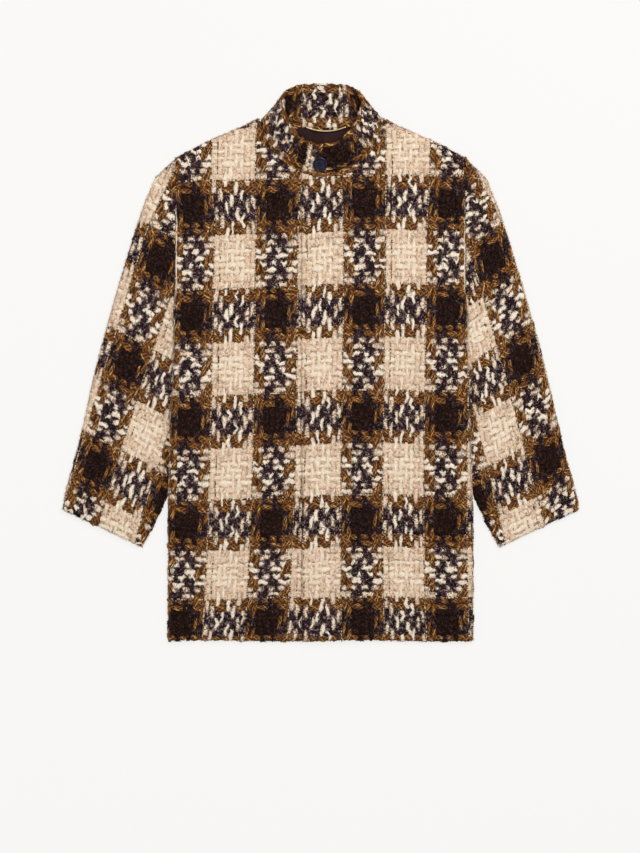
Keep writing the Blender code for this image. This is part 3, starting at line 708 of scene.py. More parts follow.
class Weave:
    """The floats of one face of the cloth, and points on their skins."""

    def __init__(self, name, lay, surface, hidden=None, flatness=1.0, more=(), curl=0.0):
        self.name = name
        self.lay = lay
        self.surface = surface
        self.flatness = flatness
        self.random = np.random.default_rng(SEED + sum(map(ord, name)))
        self.pick_floats(hidden, more)
        self.shape_floats(curl)

    def pick_floats(self, hidden, more):
        """Keeps the floats that lie on the face and aren't hidden."""
        threads = self.lay.threads(self.surface.corners())
        low = np.floor(threads.min(axis=0)).astype(int)
        high = np.ceil(threads.max(axis=0)).astype(int) + 1
        table = float_table((int(low[0]), int(high[0])), (int(low[1]), int(high[1])), more)
        is_warp = table[:, 0] > 0.5
        middle_end = table[:, 1] + np.where(is_warp, 0.0, table[:, 3] / 2.0)
        middle_pick = table[:, 2] + np.where(is_warp, table[:, 3] / 2.0, 0.0)
        middle, _, beyond = self.surface.at(self.lay.place(middle_end, middle_pick))
        shown = beyond < EDGE_SKIP
        if hidden is not None:
            shown &= ~hidden(middle, middle_end)
        self.is_warp = is_warp[shown]
        self.end, self.pick, self.length = table[shown, 1:4].T
        self.yarn = table[shown, 4].astype(int)
        self.count = len(self.yarn)
        self.crossed = table[shown, 5]
        self.contrast = np.abs(self.table_of(LIGHTNESS, 0.0) - self.crossed)

    def shape_floats(self, curl):
        """Sizes of each float, with its own unevenness."""
        form = self.table_of(YARN_FORM)
        self.width, self.thickness, self.height, self.uneven, wander = form[:5]
        self.dip, self.lean, self.reach, self.end_width = form[5:]
        fullness = np.where(self.is_warp, 2.0 - WEFT_FULLNESS, WEFT_FULLNESS)
        self.width = self.width * fullness * self.random.normal(1.0, WIDTH_SPREAD, self.count)
        self.width = self.width * (1.0 - self.table_of(NARROWING, 0.0) * self.contrast)
        over_dark = np.clip(1.0 - self.crossed / LIGHTNESS["brown"], 0.0, 1.0)
        warp_share, weft_share = self.table_of(OVER_DARK, (1.0, 1.0))
        self.width = self.width * (1.0 + (np.where(self.is_warp, warp_share, weft_share) - 1.0) * over_dark)
        self.height = self.height + self.random.normal(0.0, HEIGHT_SPREAD, self.count)
        self.dip = self.dip * self.more_in_contrast(CALM_DIP)
        self.lean = self.lean + self.random.normal(0.0, LEAN_SPREAD, self.count)
        self.reach = self.reach + self.random.normal(0.0, REACH_SPREAD, self.count)
        knots = (self.count, KNOTS)
        wander = wander * self.more_in_contrast(CALM_WANDER)
        self.wander = wander[:, None] * self.random.normal(0.0, 1.0, knots)
        zigzag = np.where((np.arange(KNOTS) + self.random.integers(2, size=(self.count, 1))) % 2, 1.0, -1.0)
        curl = curl * self.table_of(CURL, 0.0) * self.more_in_contrast(CALM_CURL)
        self.wander += curl[:, None] * zigzag * self.random.uniform(*CURL_SPREAD, knots)
        self.swell = 1.0 + SWELL * self.uneven[:, None] * self.random.normal(0.0, 1.0, knots)
        self.seed = self.random.random(self.count)
        self.pitch_along = np.where(self.is_warp, self.lay.pitches[1], self.lay.pitches[0])
        self.pitch_across = np.where(self.is_warp, self.lay.pitches[0], self.lay.pitches[1])

    def table_of(self, values, default=None):
        """Values of a table by yarn, for every float."""
        return np.array([values.get(kind, default) for kind in YARNS])[self.yarn].T

    def more_in_contrast(self, calm):
        """Share of an unevenness, from calm among like yarns to all of it among yarns of another tone."""
        return calm + (1.0 - calm) * self.contrast

    def skin(self, which, share, angle, out=0.0, level=math.nan):
        """Points on chosen floats: share of the length, angle round the yarn (90 on top), distance off it.

        A level sets the height over the cloth instead.
        Gives the points, and the places along and round the yarn in millimetres.
        """
        which, share, angle, out, level = np.broadcast_arrays(which, share, angle, out, level)
        length = self.length[which]
        reach = self.reach[which]
        along = -reach + share * (length + 2.0 * reach)
        rise = smoothstep(-reach, FLOAT_RISE, np.minimum(along, length - along))
        spot = np.clip(share, 0.0, 1.0) * (KNOTS - 1)
        knot = np.minimum(spot.astype(int), KNOTS - 2)
        part = smoothstep(0.0, 1.0, spot - knot)
        swell, wander = (
            values[which, knot] * (1.0 - part) + values[which, knot + 1] * part
            for values in (self.swell, self.wander)
        )
        end_width = self.end_width[which]
        half = self.width[which] / 2.0 * (end_width + (1.0 - end_width) * rise) * swell
        turn = np.radians(angle)
        wide, tall = (
            np.sign(value) * np.abs(value) ** FLOAT_SQUARENESS for value in (np.cos(turn), np.sin(turn))
        )
        tall = tall * np.where(tall > 0.0, 1.0, LOWER_HALF)
        pitch = self.pitch_across[which]
        aside = (half + out / pitch) * wide + wander + self.lean[which] * (share - 0.5)
        above = self.height[which] + (rise - 1.0) * self.dip[which] + (self.thickness[which] + out) * tall
        above = np.where(np.isnan(level), above, level)
        side = self.lay.turn * self.surface.turn
        warp = self.is_warp[which]
        end = self.end[which] + np.where(warp, side * aside, along)
        pick = self.pick[which] + np.where(warp, along, -side * aside)
        point, normal, _ = self.surface.at(self.lay.place(end, pick))
        above = self.flatness * above - (1.0 - self.flatness)
        point = point + normal * above[..., None]
        point[..., 2] = np.maximum(point[..., 2], FLOOR_CLEARANCE)
        across = half * pitch * np.where(angle <= 180.0, 1.0 - angle / 90.0, angle / 90.0 - 3.0)
        return point, along * self.pitch_along[which], across

    def add_floats(self, stations=FINE_STATIONS, sides=FINE_SIDES):
        which = np.arange(self.count)[:, None, None]
        share = np.asarray(stations)[None, :, None]
        angle = (360.0 * np.arange(sides) / sides)[None, None, :]
        lumps = self.random.normal(0.0, 1.0, (self.count, len(stations), sides))
        ragged = self.random.normal(0.0, 1.0, lumps.shape) * np.abs(np.cos(np.radians(angle)))
        out = lumps * (self.uneven * self.thickness)[:, None, None]
        out += ragged * (self.table_of(RAGGEDNESS, 0.0) * self.contrast)[:, None, None]
        points, along, across = self.skin(which, share, angle, out)
        return self.add_tubes("weave", np.arange(self.count), points, along, across, YARNS)

    def add_strands(self):
        """Thin gold and cream strands that wind round the brown floats."""
        plied = np.isin(self.yarn, [YARNS.index(kind) for kind in PLIED])
        floats = np.repeat(np.flatnonzero(plied), STRANDS)
        start, length, turn, sweep = (
            self.random.uniform(*limits, len(floats))[:, None] for limits in STRAND_RANGES
        )
        span = np.linspace(0.0, 1.0, STRAND_STATIONS)[None, :]
        taper = np.sqrt(np.clip(4.0 * span * (1.0 - span), STRAND_TIP, 1.0))
        half_turn = self.degrees_round(STRAND_HALF_WIDTH, floats)[:, None] * taper
        angle = turn - sweep * span
        angles = np.stack([angle - half_turn, angle, angle + half_turn], axis=-1)
        out = np.stack([0.0 * taper, STRAND_HEIGHT * taper, 0.0 * taper], axis=-1) + STRAND_SEAT
        share = (start + length * span)[..., None]
        points, along, across = self.skin(floats[:, None, None], share, angles, out)
        return self.add_tubes("strands", floats, points, along, across, ("strand",))

    def degrees_round(self, distance, floats):
        """Angle that a distance takes round the yarn."""
        return np.degrees(distance / (ROUND_SHARE * self.pitch_across[floats]))

    def spikes(self, floats, share, angle, root, *tip):
        """Corners of closed three-sided spikes on the floats, and their places along and round the yarn.

        The tip has a share, an angle, a distance off the skin and a level, as in skin().
        """
        along_reach = root / (self.pitch_along[floats] * (self.length[floats] + 2.0 * self.reach[floats]))
        shares = share[:, None] + along_reach[:, None] * np.cos(SPIKE_TURNS)
        angles = angle[:, None] + self.degrees_round(root, floats)[:, None] * np.sin(SPIKE_TURNS)
        base = self.skin(floats[:, None], shares, angles, SPIKE_SEAT)
        top = self.skin(floats[:, None], *(value[:, None] for value in tip))
        points, along, across = (np.concatenate(pair, axis=1) for pair in zip(base, top))
        return floats, outward_spikes(points), along, across

    def lumps(self):
        number, height, root = self.table_of(LUMPS, NONE)
        floats = np.repeat(np.arange(self.count), number.astype(int))
        count = len(floats)
        share = self.random.uniform(*LUMP_SPAN, count)
        angle = self.random.uniform(*LUMP_ANGLE, count)
        tip_angle = np.clip(angle + self.random.normal(0.0, LUMP_LEAN[0], count), *LUMP_TIP_ANGLE)
        tip_share = share + self.random.normal(0.0, LUMP_LEAN[1], count)
        tip_out = height[floats] * self.random.uniform(*LUMP_RISE, count)
        tip = (tip_share, tip_angle, tip_out, np.full(count, np.nan))
        return self.spikes(floats, share, angle, root[floats], *tip)

    def hairs(self):
        """Loose hairs that lie over neighbouring yarns of another tone."""
        number, longest, root = self.table_of(HAIRS, NONE)
        floats = np.repeat(np.arange(self.count), np.round(number * self.contrast).astype(int))
        count = len(floats)
        side = self.random.choice((-1.0, 1.0), count)
        share = self.random.uniform(*HAIR_SPAN, count)
        angle = 90.0 + side * self.random.uniform(*HAIR_ANGLE, count)
        tip_share = share + self.random.normal(0.0, HAIR_LEAN, count)
        tip_out = longest[floats] * self.random.uniform(*HAIR_REACH, count)
        level = self.random.uniform(*HAIR_LEVEL, count)
        return self.spikes(floats, share, angle, root[floats], tip_share, 90.0 + 90.0 * side, tip_out, level)

    def add_fuzz(self):
        """Lumps and loose hairs of the yarns, as one mesh of closed spikes."""
        floats, points, along, across = (np.concatenate(pair) for pair in zip(self.lumps(), self.hairs()))
        attributes = self.attributes(floats, along, across)
        made = joined_mesh(self.name + "_fuzz", points, SPIKE_FACES, self.yarn[floats], attributes)
        return finish_piece(made, YARNS)

    def add_fringe(self):
        """Short loose hairs that stand out round the panel's outline, as one mesh of closed spikes."""
        rim = zip(*self.surface.rim)
        edge, outward = (np.repeat(np.array(column), FRINGE_HAIRS, axis=0) for column in rim)
        count = len(edge)
        sideways = np.stack([-outward[:, 1], outward[:, 0], np.zeros(count)], axis=1)
        up = np.array([0.0, 0.0, 1.0])
        sway_aside, sway_up = FRINGE_SWAY
        root = edge + sideways * self.random.uniform(*FRINGE_ASIDE, (count, 1)) - outward * FRINGE_SEAT
        root -= up * self.random.uniform(*FRINGE_DROP, (count, 1))
        tip = root + outward * (FRINGE_SEAT + self.random.uniform(*FRINGE_LENGTH, (count, 1)))
        swayed = sideways * self.random.normal(0.0, sway_aside, (count, 1))
        tip += swayed + up * self.random.normal(0.0, sway_up, (count, 1))
        turn = SPIKE_TURNS[None, :, None]
        base = root[:, None] + FRINGE_ROOT * (sideways[:, None] * np.cos(turn) + up * np.sin(turn))
        points = np.concatenate([base, tip[:, None]], axis=1)
        points[..., 2] = np.maximum(points[..., 2], FLOOR_CLEARANCE)
        floats = self.random.integers(self.count, size=count)
        place = np.broadcast_to(np.arange(4.0), (count, 4))
        attributes = self.attributes(floats, place, place)
        attributes["contrast"] = 0.0 * place
        yarn = self.random.choice([YARNS.index(kind) for kind in FRINGE_YARNS], count)
        made = joined_mesh(self.name + "_fringe", outward_spikes(points), SPIKE_FACES, yarn, attributes)
        return finish_piece(made, YARNS)

    def attributes(self, floats, along, across):
        """Values the yarns' materials read, for every corner of forms on the given floats."""
        seed = np.broadcast_to(self.seed[floats][:, None], along.shape)
        contrast = np.broadcast_to(self.contrast[floats][:, None], along.shape)
        return {"along": along, "across": across, "seed": seed, "contrast": contrast}

    def add_tubes(self, part, floats, rings, along, across, materials):
        """A joined mesh of closed tubes from rings of points: tube, ring, side."""
        count, stations, sides = rings.shape[:3]
        centre = rings.mean(axis=2)
        spokes = rings[:, 0] - centre[:, :1]
        area = np.cross(spokes, np.roll(spokes, -1, axis=1)).sum(axis=1)
        backward = np.sum(area * (centre[:, 1] - centre[:, 0]), axis=1) > 0.0
        rings[backward] = rings[backward][:, :, ::-1]
        flat = (count, stations * sides)
        attributes = self.attributes(floats, along.reshape(flat), across.reshape(flat))
        index = self.yarn[floats] if len(materials) > 1 else np.zeros(count, int)
        points = rings.reshape(count, stations * sides, 3)
        made = joined_mesh(f"{self.name}_{part}", points, tube_faces(stations, sides), index, attributes)
        return finish_piece(made, materials)


def tube_faces(stations, sides):
    """Faces of a closed tube, each with its places on the flat layout."""
    faces = []
    for ring in range(stations - 1):
        for side in range(sides):
            after = (side + 1) % sides
            low, high = ring * sides, (ring + 1) * sides
            left, right = side / sides, (side + 1) / sides
            bottom, top = ring / (stations - 1), (ring + 1) / (stations - 1)
            places = ((left, bottom), (left, top), (right, top), (right, bottom))
            faces.append(((low + side, high + side, high + after, low + after), places))
    last = (stations - 1) * sides
    middle = tuple((0.5, 0.5) for _ in range(sides))
    faces.append((tuple(range(sides)), middle))
    faces.append((tuple(last + side for side in reversed(range(sides))), middle))
    return faces


def placed(name, data):
    """A new object in the scene."""
    made = bpy.data.objects.new(name, data)
    bpy.context.scene.collection.objects.link(made)
    return made


def smooth_piece(name, points, faces):
    """A new object with a smooth mesh of the given points and faces."""
    mesh = bpy.data.meshes.new(name)
    mesh.from_pydata((points * MM).tolist(), [], faces)
    mesh.shade_smooth()
    return placed(name, mesh)


def add_values(mesh, name, values):
    """A value at each point of a mesh, for its material to read."""
    layer = mesh.attributes.new(name, "FLOAT", "POINT")
    layer.data.foreach_set("value", values.astype(np.float32).ravel())


def joined_mesh(name, points, faces, material_index, attributes):
    """Many copies of one closed form as a single mesh: points for each copy, and the faces they share."""
    count, corners = points.shape[:2]
    form = np.array([corner for face, _ in faces for corner in face])
    layout = np.array([place for _, places in faces for place in places])
    sizes = np.array([len(face) for face, _ in faces])
    loops = (np.arange(count)[:, None] * corners + form).ravel()
    all_sizes = np.tile(sizes, count)
    starts = np.concatenate([[0], np.cumsum(all_sizes)[:-1]])
    mesh = bpy.data.meshes.new(name)
    mesh.vertices.add(count * corners)
    mesh.vertices.foreach_set("co", (points * MM).astype(np.float32).ravel())
    mesh.loops.add(len(loops))
    mesh.loops.foreach_set("vertex_index", loops.astype(np.int32))
    mesh.polygons.add(len(all_sizes))
    mesh.polygons.foreach_set("loop_start", starts.astype(np.int32))
    mesh.polygons.foreach_set("material_index", np.repeat(material_index, len(faces)).astype(np.int32))
    cells = math.ceil(math.sqrt(count))
    cell = np.stack([np.arange(count) % cells, np.arange(count) // cells], axis=1)
    places = (cell[:, None, :] + LAYOUT_MARGIN + (1.0 - 2.0 * LAYOUT_MARGIN) * layout[None]) / cells
    mesh.uv_layers.new(name="OFBake").uv.foreach_set("vector", places.astype(np.float32).ravel())
    mesh.update(calc_edges=True)
    mesh.shade_smooth()
    for key, values in attributes.items():
        add_values(mesh, key, values)
    return placed(name, mesh)


def finish_piece(made, materials):
    for kind in materials:
        made.data.materials.append(MATERIALS[kind])
    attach(made, "root")
    return made


def add_shell(node, material, sideways):
    """Thin closed shell on a panel's solid, under its yarns, with its side walls drawn in or kept."""
    work = bmesh.new()
    work.from_mesh(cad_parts[node].data)
    bmesh.ops.remove_doubles(work, verts=work.verts, dist=WELD * MM)
    work.normal_update()
    for vertex in work.verts:
        way = vertex.normal if sideways else Vector((0.0, 0.0, vertex.normal.z))
        vertex.co -= way * SHELL_INSET * MM
    mesh = bpy.data.meshes.new(node + "_shell")
    work.to_mesh(mesh)
    work.free()
    mesh.shade_smooth()
    mesh.materials.clear()
    mesh.materials.append(material)
    made = placed(node + "_shell", mesh)
    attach(made, "root")
    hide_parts(node)
    return made


def opaque(code):
    """Linear colour, with its alpha, of a hexadecimal screen colour."""
    parts = [int(code[k : k + 2], 16) / 255.0 for k in (1, 3, 5)]
    return (*(p / 12.92 if p <= 0.04045 else ((p + 0.055) / 1.055) ** 2.4 for p in parts), 1.0)


class Shader:
    """A material with a Principled shader, and short calls to add nodes to it."""

    def __init__(self, name, roughness, **sockets):
        self.material = bpy.data.materials.new(name)
        self.material.use_nodes = True
        self.tree = self.material.node_tree
        self.sockets = self.tree.nodes["Principled BSDF"].inputs
        self.sockets["Roughness"].default_value = roughness
        for socket, value in sockets.items():
            self.sockets[socket.replace("_", " ")].default_value = value

    def node(self, kind, inputs=(), **settings):
        made = self.tree.nodes.new("ShaderNode" + kind)
        for key, value in settings.items():
            setattr(made, key, value)
        for socket, value in dict(inputs).items():
            self.feed(made.inputs[socket], value)
        return made

    def feed(self, socket, value):
        if isinstance(value, bpy.types.NodeSocket):
            self.tree.links.new(value, socket)
        else:
            socket.default_value = value

    def math(self, operation, *values):
        return self.node("Math", enumerate(values), operation=operation).outputs[0]

    def plus(self, first, second):
        return self.math("ADD", first, second)

    def minus(self, first, second):
        return self.math("SUBTRACT", first, second)

    def times(self, first, second):
        return self.math("MULTIPLY", first, second)

    def size(self, value):
        return self.math("ABSOLUTE", value)

    def clamped(self, value, most=1.0):
        return self.math("MINIMUM", self.math("MAXIMUM", value, 0.0), most)

    def attribute(self, name):
        return self.node("Attribute", attribute_name=name).outputs["Fac"]

    def vector(self, *values):
        return self.node("CombineXYZ", enumerate(values)).outputs[0]

    def split(self, vector):
        return self.node("SeparateXYZ", {"Vector": vector}).outputs

    def object_place(self):
        return self.node("TexCoord").outputs["Object"]

    def noise(self, vector, scale, detail=3.0, roughness=0.5):
        inputs = {"Vector": vector, "Scale": scale, "Detail": detail, "Roughness": roughness}
        return self.node("TexNoise", inputs).outputs["Fac"]

    def ramp(self, value, *stops, interpolation="LINEAR"):
        made = self.node("ValToRGB", {"Fac": value})
        made.color_ramp.interpolation = interpolation
        elements = made.color_ramp.elements
        while len(elements) < len(stops):
            elements.new(0.5)
        for element, (place, colour) in zip(elements, stops):
            element.position = place
            element.color = opaque(colour)
        return made.outputs["Color"]

    def mix(self, share, first, second, blend="MIX"):
        inputs = {0: share, 6: first, 7: second}
        return self.node("Mix", inputs, data_type="RGBA", blend_type=blend).outputs[2]

    def rubbed(self, grain):
        """Roughness that changes a little with the grain."""
        least, change = RUB
        self.feed(self.sockets["Roughness"], self.plus(self.times(grain, change), least))

    def finish(self, colour, height, bump_size):
        self.feed(self.sockets["Base Color"], colour)
        bump = self.node("Bump", {"Height": height, "Strength": 1.0, "Distance": bump_size * MM})
        self.feed(self.sockets["Normal"], bump.outputs["Normal"])
        return self.material


class YarnShader(Shader):
    """A yarn's material, which reads places along and round the yarn and the seed of each float."""

    def __init__(self, name, roughness, **sockets):
        super().__init__(name, roughness, **sockets)
        self.along = self.attribute("along")
        self.across = self.attribute("across")
        self.seed = self.times(self.attribute("seed"), SEED_SPREAD)

    def grain(self, *look):
        return self.noise(self.vector(self.along, self.across, self.seed), *look)

    def toned(self, grain, alone, among_others):
        """Colour by the grain, with other tones among yarns of another tone."""
        alone, among_others = self.ramp(grain, *alone), self.ramp(grain, *among_others)
        return self.mix(self.attribute("contrast"), alone, among_others)

    def specked(self, colour, speck, least):
        """A colour with small specks of a neighbour's tone, more of them towards the sides of a float."""
        place = self.vector(self.along, self.across, self.plus(self.seed, SPECK_SEED))
        aside = self.times(self.size(self.across), SPECK_ASIDE)
        over = self.minus(self.plus(self.noise(place, *SPECK_GRAIN), aside), least)
        share = self.clamped(self.times(over, SPECK_SHARPNESS), SPECK_MOST)
        return self.mix(self.times(share, self.attribute("contrast")), colour, opaque(speck))


def brown_yarn():
    """Plied lustrous yarn in golden browns, with painted shade in the grooves between its plies and painted
    light on their crests.
    """
    shader = YarnShader("brown_yarn", 0.55, Specular_IOR_Level=0.3)
    twist = shader.plus(shader.across, shader.times(shader.along, 0.5))
    part = shader.math("FRACT", shader.plus(shader.math("DIVIDE", twist, PLY_WIDTH), shader.seed))
    # Painted shade and light: the colour runs from near black in the grooves between plies to light brown on
    # their crests, mixed with the yarn's own grain
    arch = shader.times(shader.times(part, shader.minus(1.0, part)), 4.0)
    place = shader.vector(shader.times(shader.along, 0.3), shader.across, shader.seed)
    tone = shader.plus(shader.times(arch, 0.5), shader.times(shader.noise(place, 0.6), 0.6))
    colour = shader.ramp(tone, (0.34, "#060200"), (0.53, "#381B00"), (0.73, "#6B3900"), (0.96, "#9C5B02"))
    return shader.finish(colour, tone, 1.6)


def strand_yarn():
    """Fine shiny strands, from gold to pale cream."""
    shader = YarnShader("gold_strand", 0.45)
    grain = shader.grain(0.3, 2.0)
    colour = shader.ramp(grain, (0.36, "#86500A"), (0.48, "#B87A1C"), (0.59, "#DDAE60"), (0.70, "#F8E3BA"))
    return shader.finish(colour, grain, 0.3)


def dark_yarn():
    """Velvety chenille, nearly black, warm where it is thick and cooler among light yarns; the pile grain's
    lightest tones are a painted sheen, over the pile's own uneven tone.
    """
    shader = YarnShader("dark_yarn", 0.95, Specular_IOR_Level=0.12)
    pile = shader.grain(0.38, 4.0, 0.7)
    # The light end of these ramps is painted sheen on the pile
    warm = ((0.36, "#050201"), (0.5, "#1A0D09"), (0.66, "#482B23"))
    cool = ((0.36, "#0C0507"), (0.5, "#28141A"), (0.66, "#583B43"))
    return shader.finish(shader.specked(shader.toned(pile, warm, cool), "#B5A096", 0.67), pile, 1.2)


def tan_yarn():
    """Curly boucle yarn, grainy all over; the grain's darkest tones are painted shade in the crevices between
    its curls and its lightest are painted highlights on them, over the yarn's own uneven tone.
    """
    shader = YarnShader("tan_yarn", 0.9)
    grain = shader.grain(0.40, 3.0, 0.65)
    # Painted shade at the dark end of these ramps and painted highlight at the light end, on the same grain
    # as the bump
    tan = ((0.32, "#A57D5E"), (0.41, "#D3B192"), (0.52, "#E2C7AC"), (0.66, "#EDDCC6"))
    fleck = ((0.32, "#AE886C"), (0.42, "#DBBC9E"), (0.55, "#EFDAC3"))
    return shader.finish(shader.specked(shader.toned(grain, tan, fleck), "#4C3A34", 0.57), grain, 1.2)


def cream_yarn():
    """Smooth thick roving, softly streaked along its length."""
    shader = YarnShader("cream_yarn", 0.85)
    slant = shader.plus(shader.across, shader.times(shader.along, 0.3))
    streak = shader.noise(shader.vector(shader.times(shader.along, 0.35), slant, shader.seed), 0.5)
    soft = ((0.3, "#D5BDA0"), (0.5, "#E6D3BA"), (0.7, "#F2E5D4"))
    white = ((0.3, "#DBC4AC"), (0.5, "#EDDBC5"), (0.7, "#F5E9D9"))
    return shader.finish(shader.specked(shader.toned(streak, soft, white), "#4A3B3A", 0.65), streak, 0.8)


def binder_yarn():
    """Thin thread of black and pale plies."""
    shader = YarnShader("binder_yarn", 0.7)
    ply = shader.noise(shader.vector(shader.along, 0.0, shader.seed), 0.36, 1.0)
    colour = shader.ramp(ply, (0.3, "#120E0F"), (0.47, "#1C1516"), (0.54, "#CFB392"), (0.7, "#DCC6AA"))
    return shader.finish(colour, ply, 0.3)


def base_cloth(name, charted=True):
    """Ground that shows only in the gaps between the yarns, in the chart's colours on a panel."""
    shader = Shader(name, 0.95)
    place = shader.object_place()
    grain = shader.noise(place, 400.0)
    if not charted:
        return shader.finish(shader.ramp(grain, (0.35, "#1C1009"), (0.65, "#54361A")), grain, 0.5)
    stops = []
    place_in_repeat = 0
    for yarn, count in CHECK:
        stops.append((place_in_repeat / REPEAT, GAP_TONES[yarn]))
        place_in_repeat += count
    tones = []
    for thread in ("end", "pick"):
        part = shader.math("FRACT", shader.math("DIVIDE", shader.attribute(thread), float(REPEAT)))
        tones.append(shader.ramp(part, *stops, interpolation="CONSTANT"))
    ground = shader.mix(1.0, *tones, "DARKEN")
    ground = shader.mix(1.0, ground, shader.ramp(grain, (0.38, "#B29A8A"), (0.56, "#FFFFFF")), "MULTIPLY")
    level = shader.size(shader.split(shader.node("NewGeometry").outputs["Normal"])["Z"])
    upright = shader.math("GREATER_THAN", UPRIGHT_BELOW, level)
    edge = shader.ramp(shader.noise(place, 160.0, 2.0), *EDGE_TONES)
    return shader.finish(shader.mix(upright, ground, edge), grain, 0.5)


def satin_lining():
    """Fine satin with a soft sheen along its folds, warmer towards the front; its dark tones are partly its
    own colour and partly painted shade from the collar over it.
    """
    shader = Shader("satin_lining", 0.55, Specular_IOR_Level=0.08)
    place = shader.object_place()
    split = shader.split(place)
    stretched = shader.vector(split["X"], shader.times(split["Y"], 0.12), split["Z"])
    weave = shader.noise(stretched, 2600.0, 2.0)
    tone = shader.plus(shader.times(weave, 0.4), shader.times(shader.noise(place, 35.0, 3.0), 0.6))
    # These tones are partly the satin's own colour and partly painted shade of the collar over the lining
    mauve = shader.ramp(tone, (0.35, "#1A0C0D"), (0.5, "#281517"), (0.68, "#382023"))
    warm = shader.ramp(tone, (0.35, "#1C0B04"), (0.5, "#2C1408"), (0.68, "#3E200E"))
    back = shader.clamped(shader.times(shader.minus(split["Y"], SATIN_CHANGE_Y), SATIN_CHANGE_STEEPNESS))
    return shader.finish(shader.mix(back, warm, mauve), weave, 0.12)


def gilt():
    """Polished gilt with faint rub marks along the bar."""
    shader = Shader("gilt", 0.3, Metallic=1.0)
    rub = shader.noise(shader.object_place(), 700.0, 3.0)
    shader.rubbed(rub)
    return shader.finish(shader.ramp(rub, (0.3, "#EBC872"), (0.7, "#FFF0C4")), rub, 0.02)


def button_frame():
    """Middle of the button in millimetres, and its directions out of its face and up along it."""
    low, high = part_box("button")
    out = np.array([0.0, -math.sin(BUTTON_TILT), math.cos(BUTTON_TILT)])
    along = np.array([0.0, math.cos(BUTTON_TILT), math.sin(BUTTON_TILT)])
    return np.array((low + high) / 2.0) / MM, out, along


def navy_button():
    """Navy plastic, faintly clouded and rubbed, with painted shade in a groove inside its rim and in its
    holes.
    """
    shader = Shader("navy_button", 0.3, Specular_IOR_Level=0.2)
    place = shader.object_place()
    cloud = shader.noise(place, 260.0, 4.0, 0.6)
    shader.rubbed(cloud)
    middle, _, along = button_frame()
    inputs = {0: place, 1: tuple(middle * MM)}
    start = shader.node("VectorMath", inputs, operation="SUBTRACT").outputs["Vector"]

    def reach(way, inset):
        inputs = {0: start, 1: tuple(way / MM)}
        made = shader.node("VectorMath", inputs, operation="DOT_PRODUCT").outputs["Value"]
        made = shader.minus(shader.size(made), inset)
        return shader.times(made, made)

    def distance(inset):
        return shader.math("SQRT", shader.plus(reach(np.array([1.0, 0.0, 0.0]), inset), reach(along, inset)))

    # Painted shade: a dark ring in the groove inside the rim and dark spots in the holes, mixed towards near
    # black
    ring = shader.minus(1.0, shader.size(shader.minus(distance(0.0), GROOVE_RADIUS)))
    hole = shader.minus(BUTTON_HOLE_SHADE_REACH, distance(BUTTON_HOLE_GAP))
    dark = shader.clamped(shader.math("MAXIMUM", ring, hole), 0.9)
    navy = shader.ramp(cloud, (0.3, "#1A1927"), (0.7, "#2B293E"))
    groove = shader.minus(cloud, shader.times(dark, 6.0))
    return shader.finish(shader.mix(dark, navy, opaque("#030305")), groove, 0.05)


def sewing_thread():
    shader = Shader("sewing_thread", 0.7)
    inputs = {"Vector": shader.object_place(), "Scale": 900.0, "Distortion": 1.0}
    ply = shader.node("TexWave", inputs).outputs["Fac"]
    return shader.finish(shader.ramp(ply, (0.2, "#060609"), (0.8, "#14141C")), ply, 0.1)


MATERIALS = {
    "brown": brown_yarn(),
    "dark": dark_yarn(),
    "tan": tan_yarn(),
    "cream": cream_yarn(),
    "binder": binder_yarn(),
    "strand": strand_yarn(),
    "satin": satin_lining(),
    "gilt": gilt(),
    "navy": navy_button(),
    "thread": sewing_thread(),
}
MATERIALS |= {kind: MATERIALS[twin] for kind, twin in TWINS.items()}


def under_left_front(points, ends):
    return points[..., 0] > CLOSING_X + HIDDEN_UNDER_FRONT


def under_body(points, ends):
    return (np.abs(points[..., 0]) < HIDDEN_UNDER_BODY) & (points[..., 1] < ARMPIT_Y)


def under_collar_end(points, ends):
    return (ends > COLLAR_ENDS[-3][1]) & under_left_front(points, ends)


def over_collar_end(points, ends):
    return (ends < COLLAR_ENDS[3][1]) & (points[..., 0] < COLLAR_END_X[1])


def armhole_edge(lay, side):
    """Floats of the yarn along the armhole seam of a front: a cream thread that doubles as a painted
    highlight over part of it, and a dark thread as painted shade elsewhere.
    """
    rows = []
    for y in np.arange(*ARMHOLE_Y, ARMHOLE_STEP):
        end, pick = lay.threads(np.array([[side * ARMHOLE_X, y]]))[0]
        # Cream thread as a painted highlight inside this span, dark thread as painted shade outside it
        kind = "cream_seam_highlight" if ARMHOLE_HIGHLIGHT[0] < y < ARMHOLE_HIGHLIGHT[1] else "painted_shade_seam"
        rows.append((1, end, pick, 2, YARNS.index(kind), 0.0))
    return rows


def dress_panel(node, lay_name, facing, hidden=None, armhole=0.0):
    """Shell and yarns of one panel, with all the finer form on a face that looks up."""
    lay = photo_lay(lay_name)
    more = armhole_edge(lay, armhole) if armhole else []
    if node == "front_left":
        more += neck_edge(lay)
    shell = add_shell(node, base_cloth(node + "_ground"), sideways=False)
    places = np.array([vertex.co[:2] for vertex in shell.data.vertices]) / MM
    for thread, values in zip(("end", "pick"), lay.threads(places).T):
        add_values(shell.data, thread, values)
    flatness = 1.0 if facing > 0 else UNDERSIDE_FLATNESS
    weave = Weave(node, lay, panel_surface(node, facing), hidden, flatness, more, CURL_AMOUNT["panel"])
    if facing > 0:
        extras = [weave.add_floats(), weave.add_strands(), weave.add_fuzz(), weave.add_fringe()]
    else:
        extras = [weave.add_floats(COARSE_STATIONS, COARSE_SIDES)]


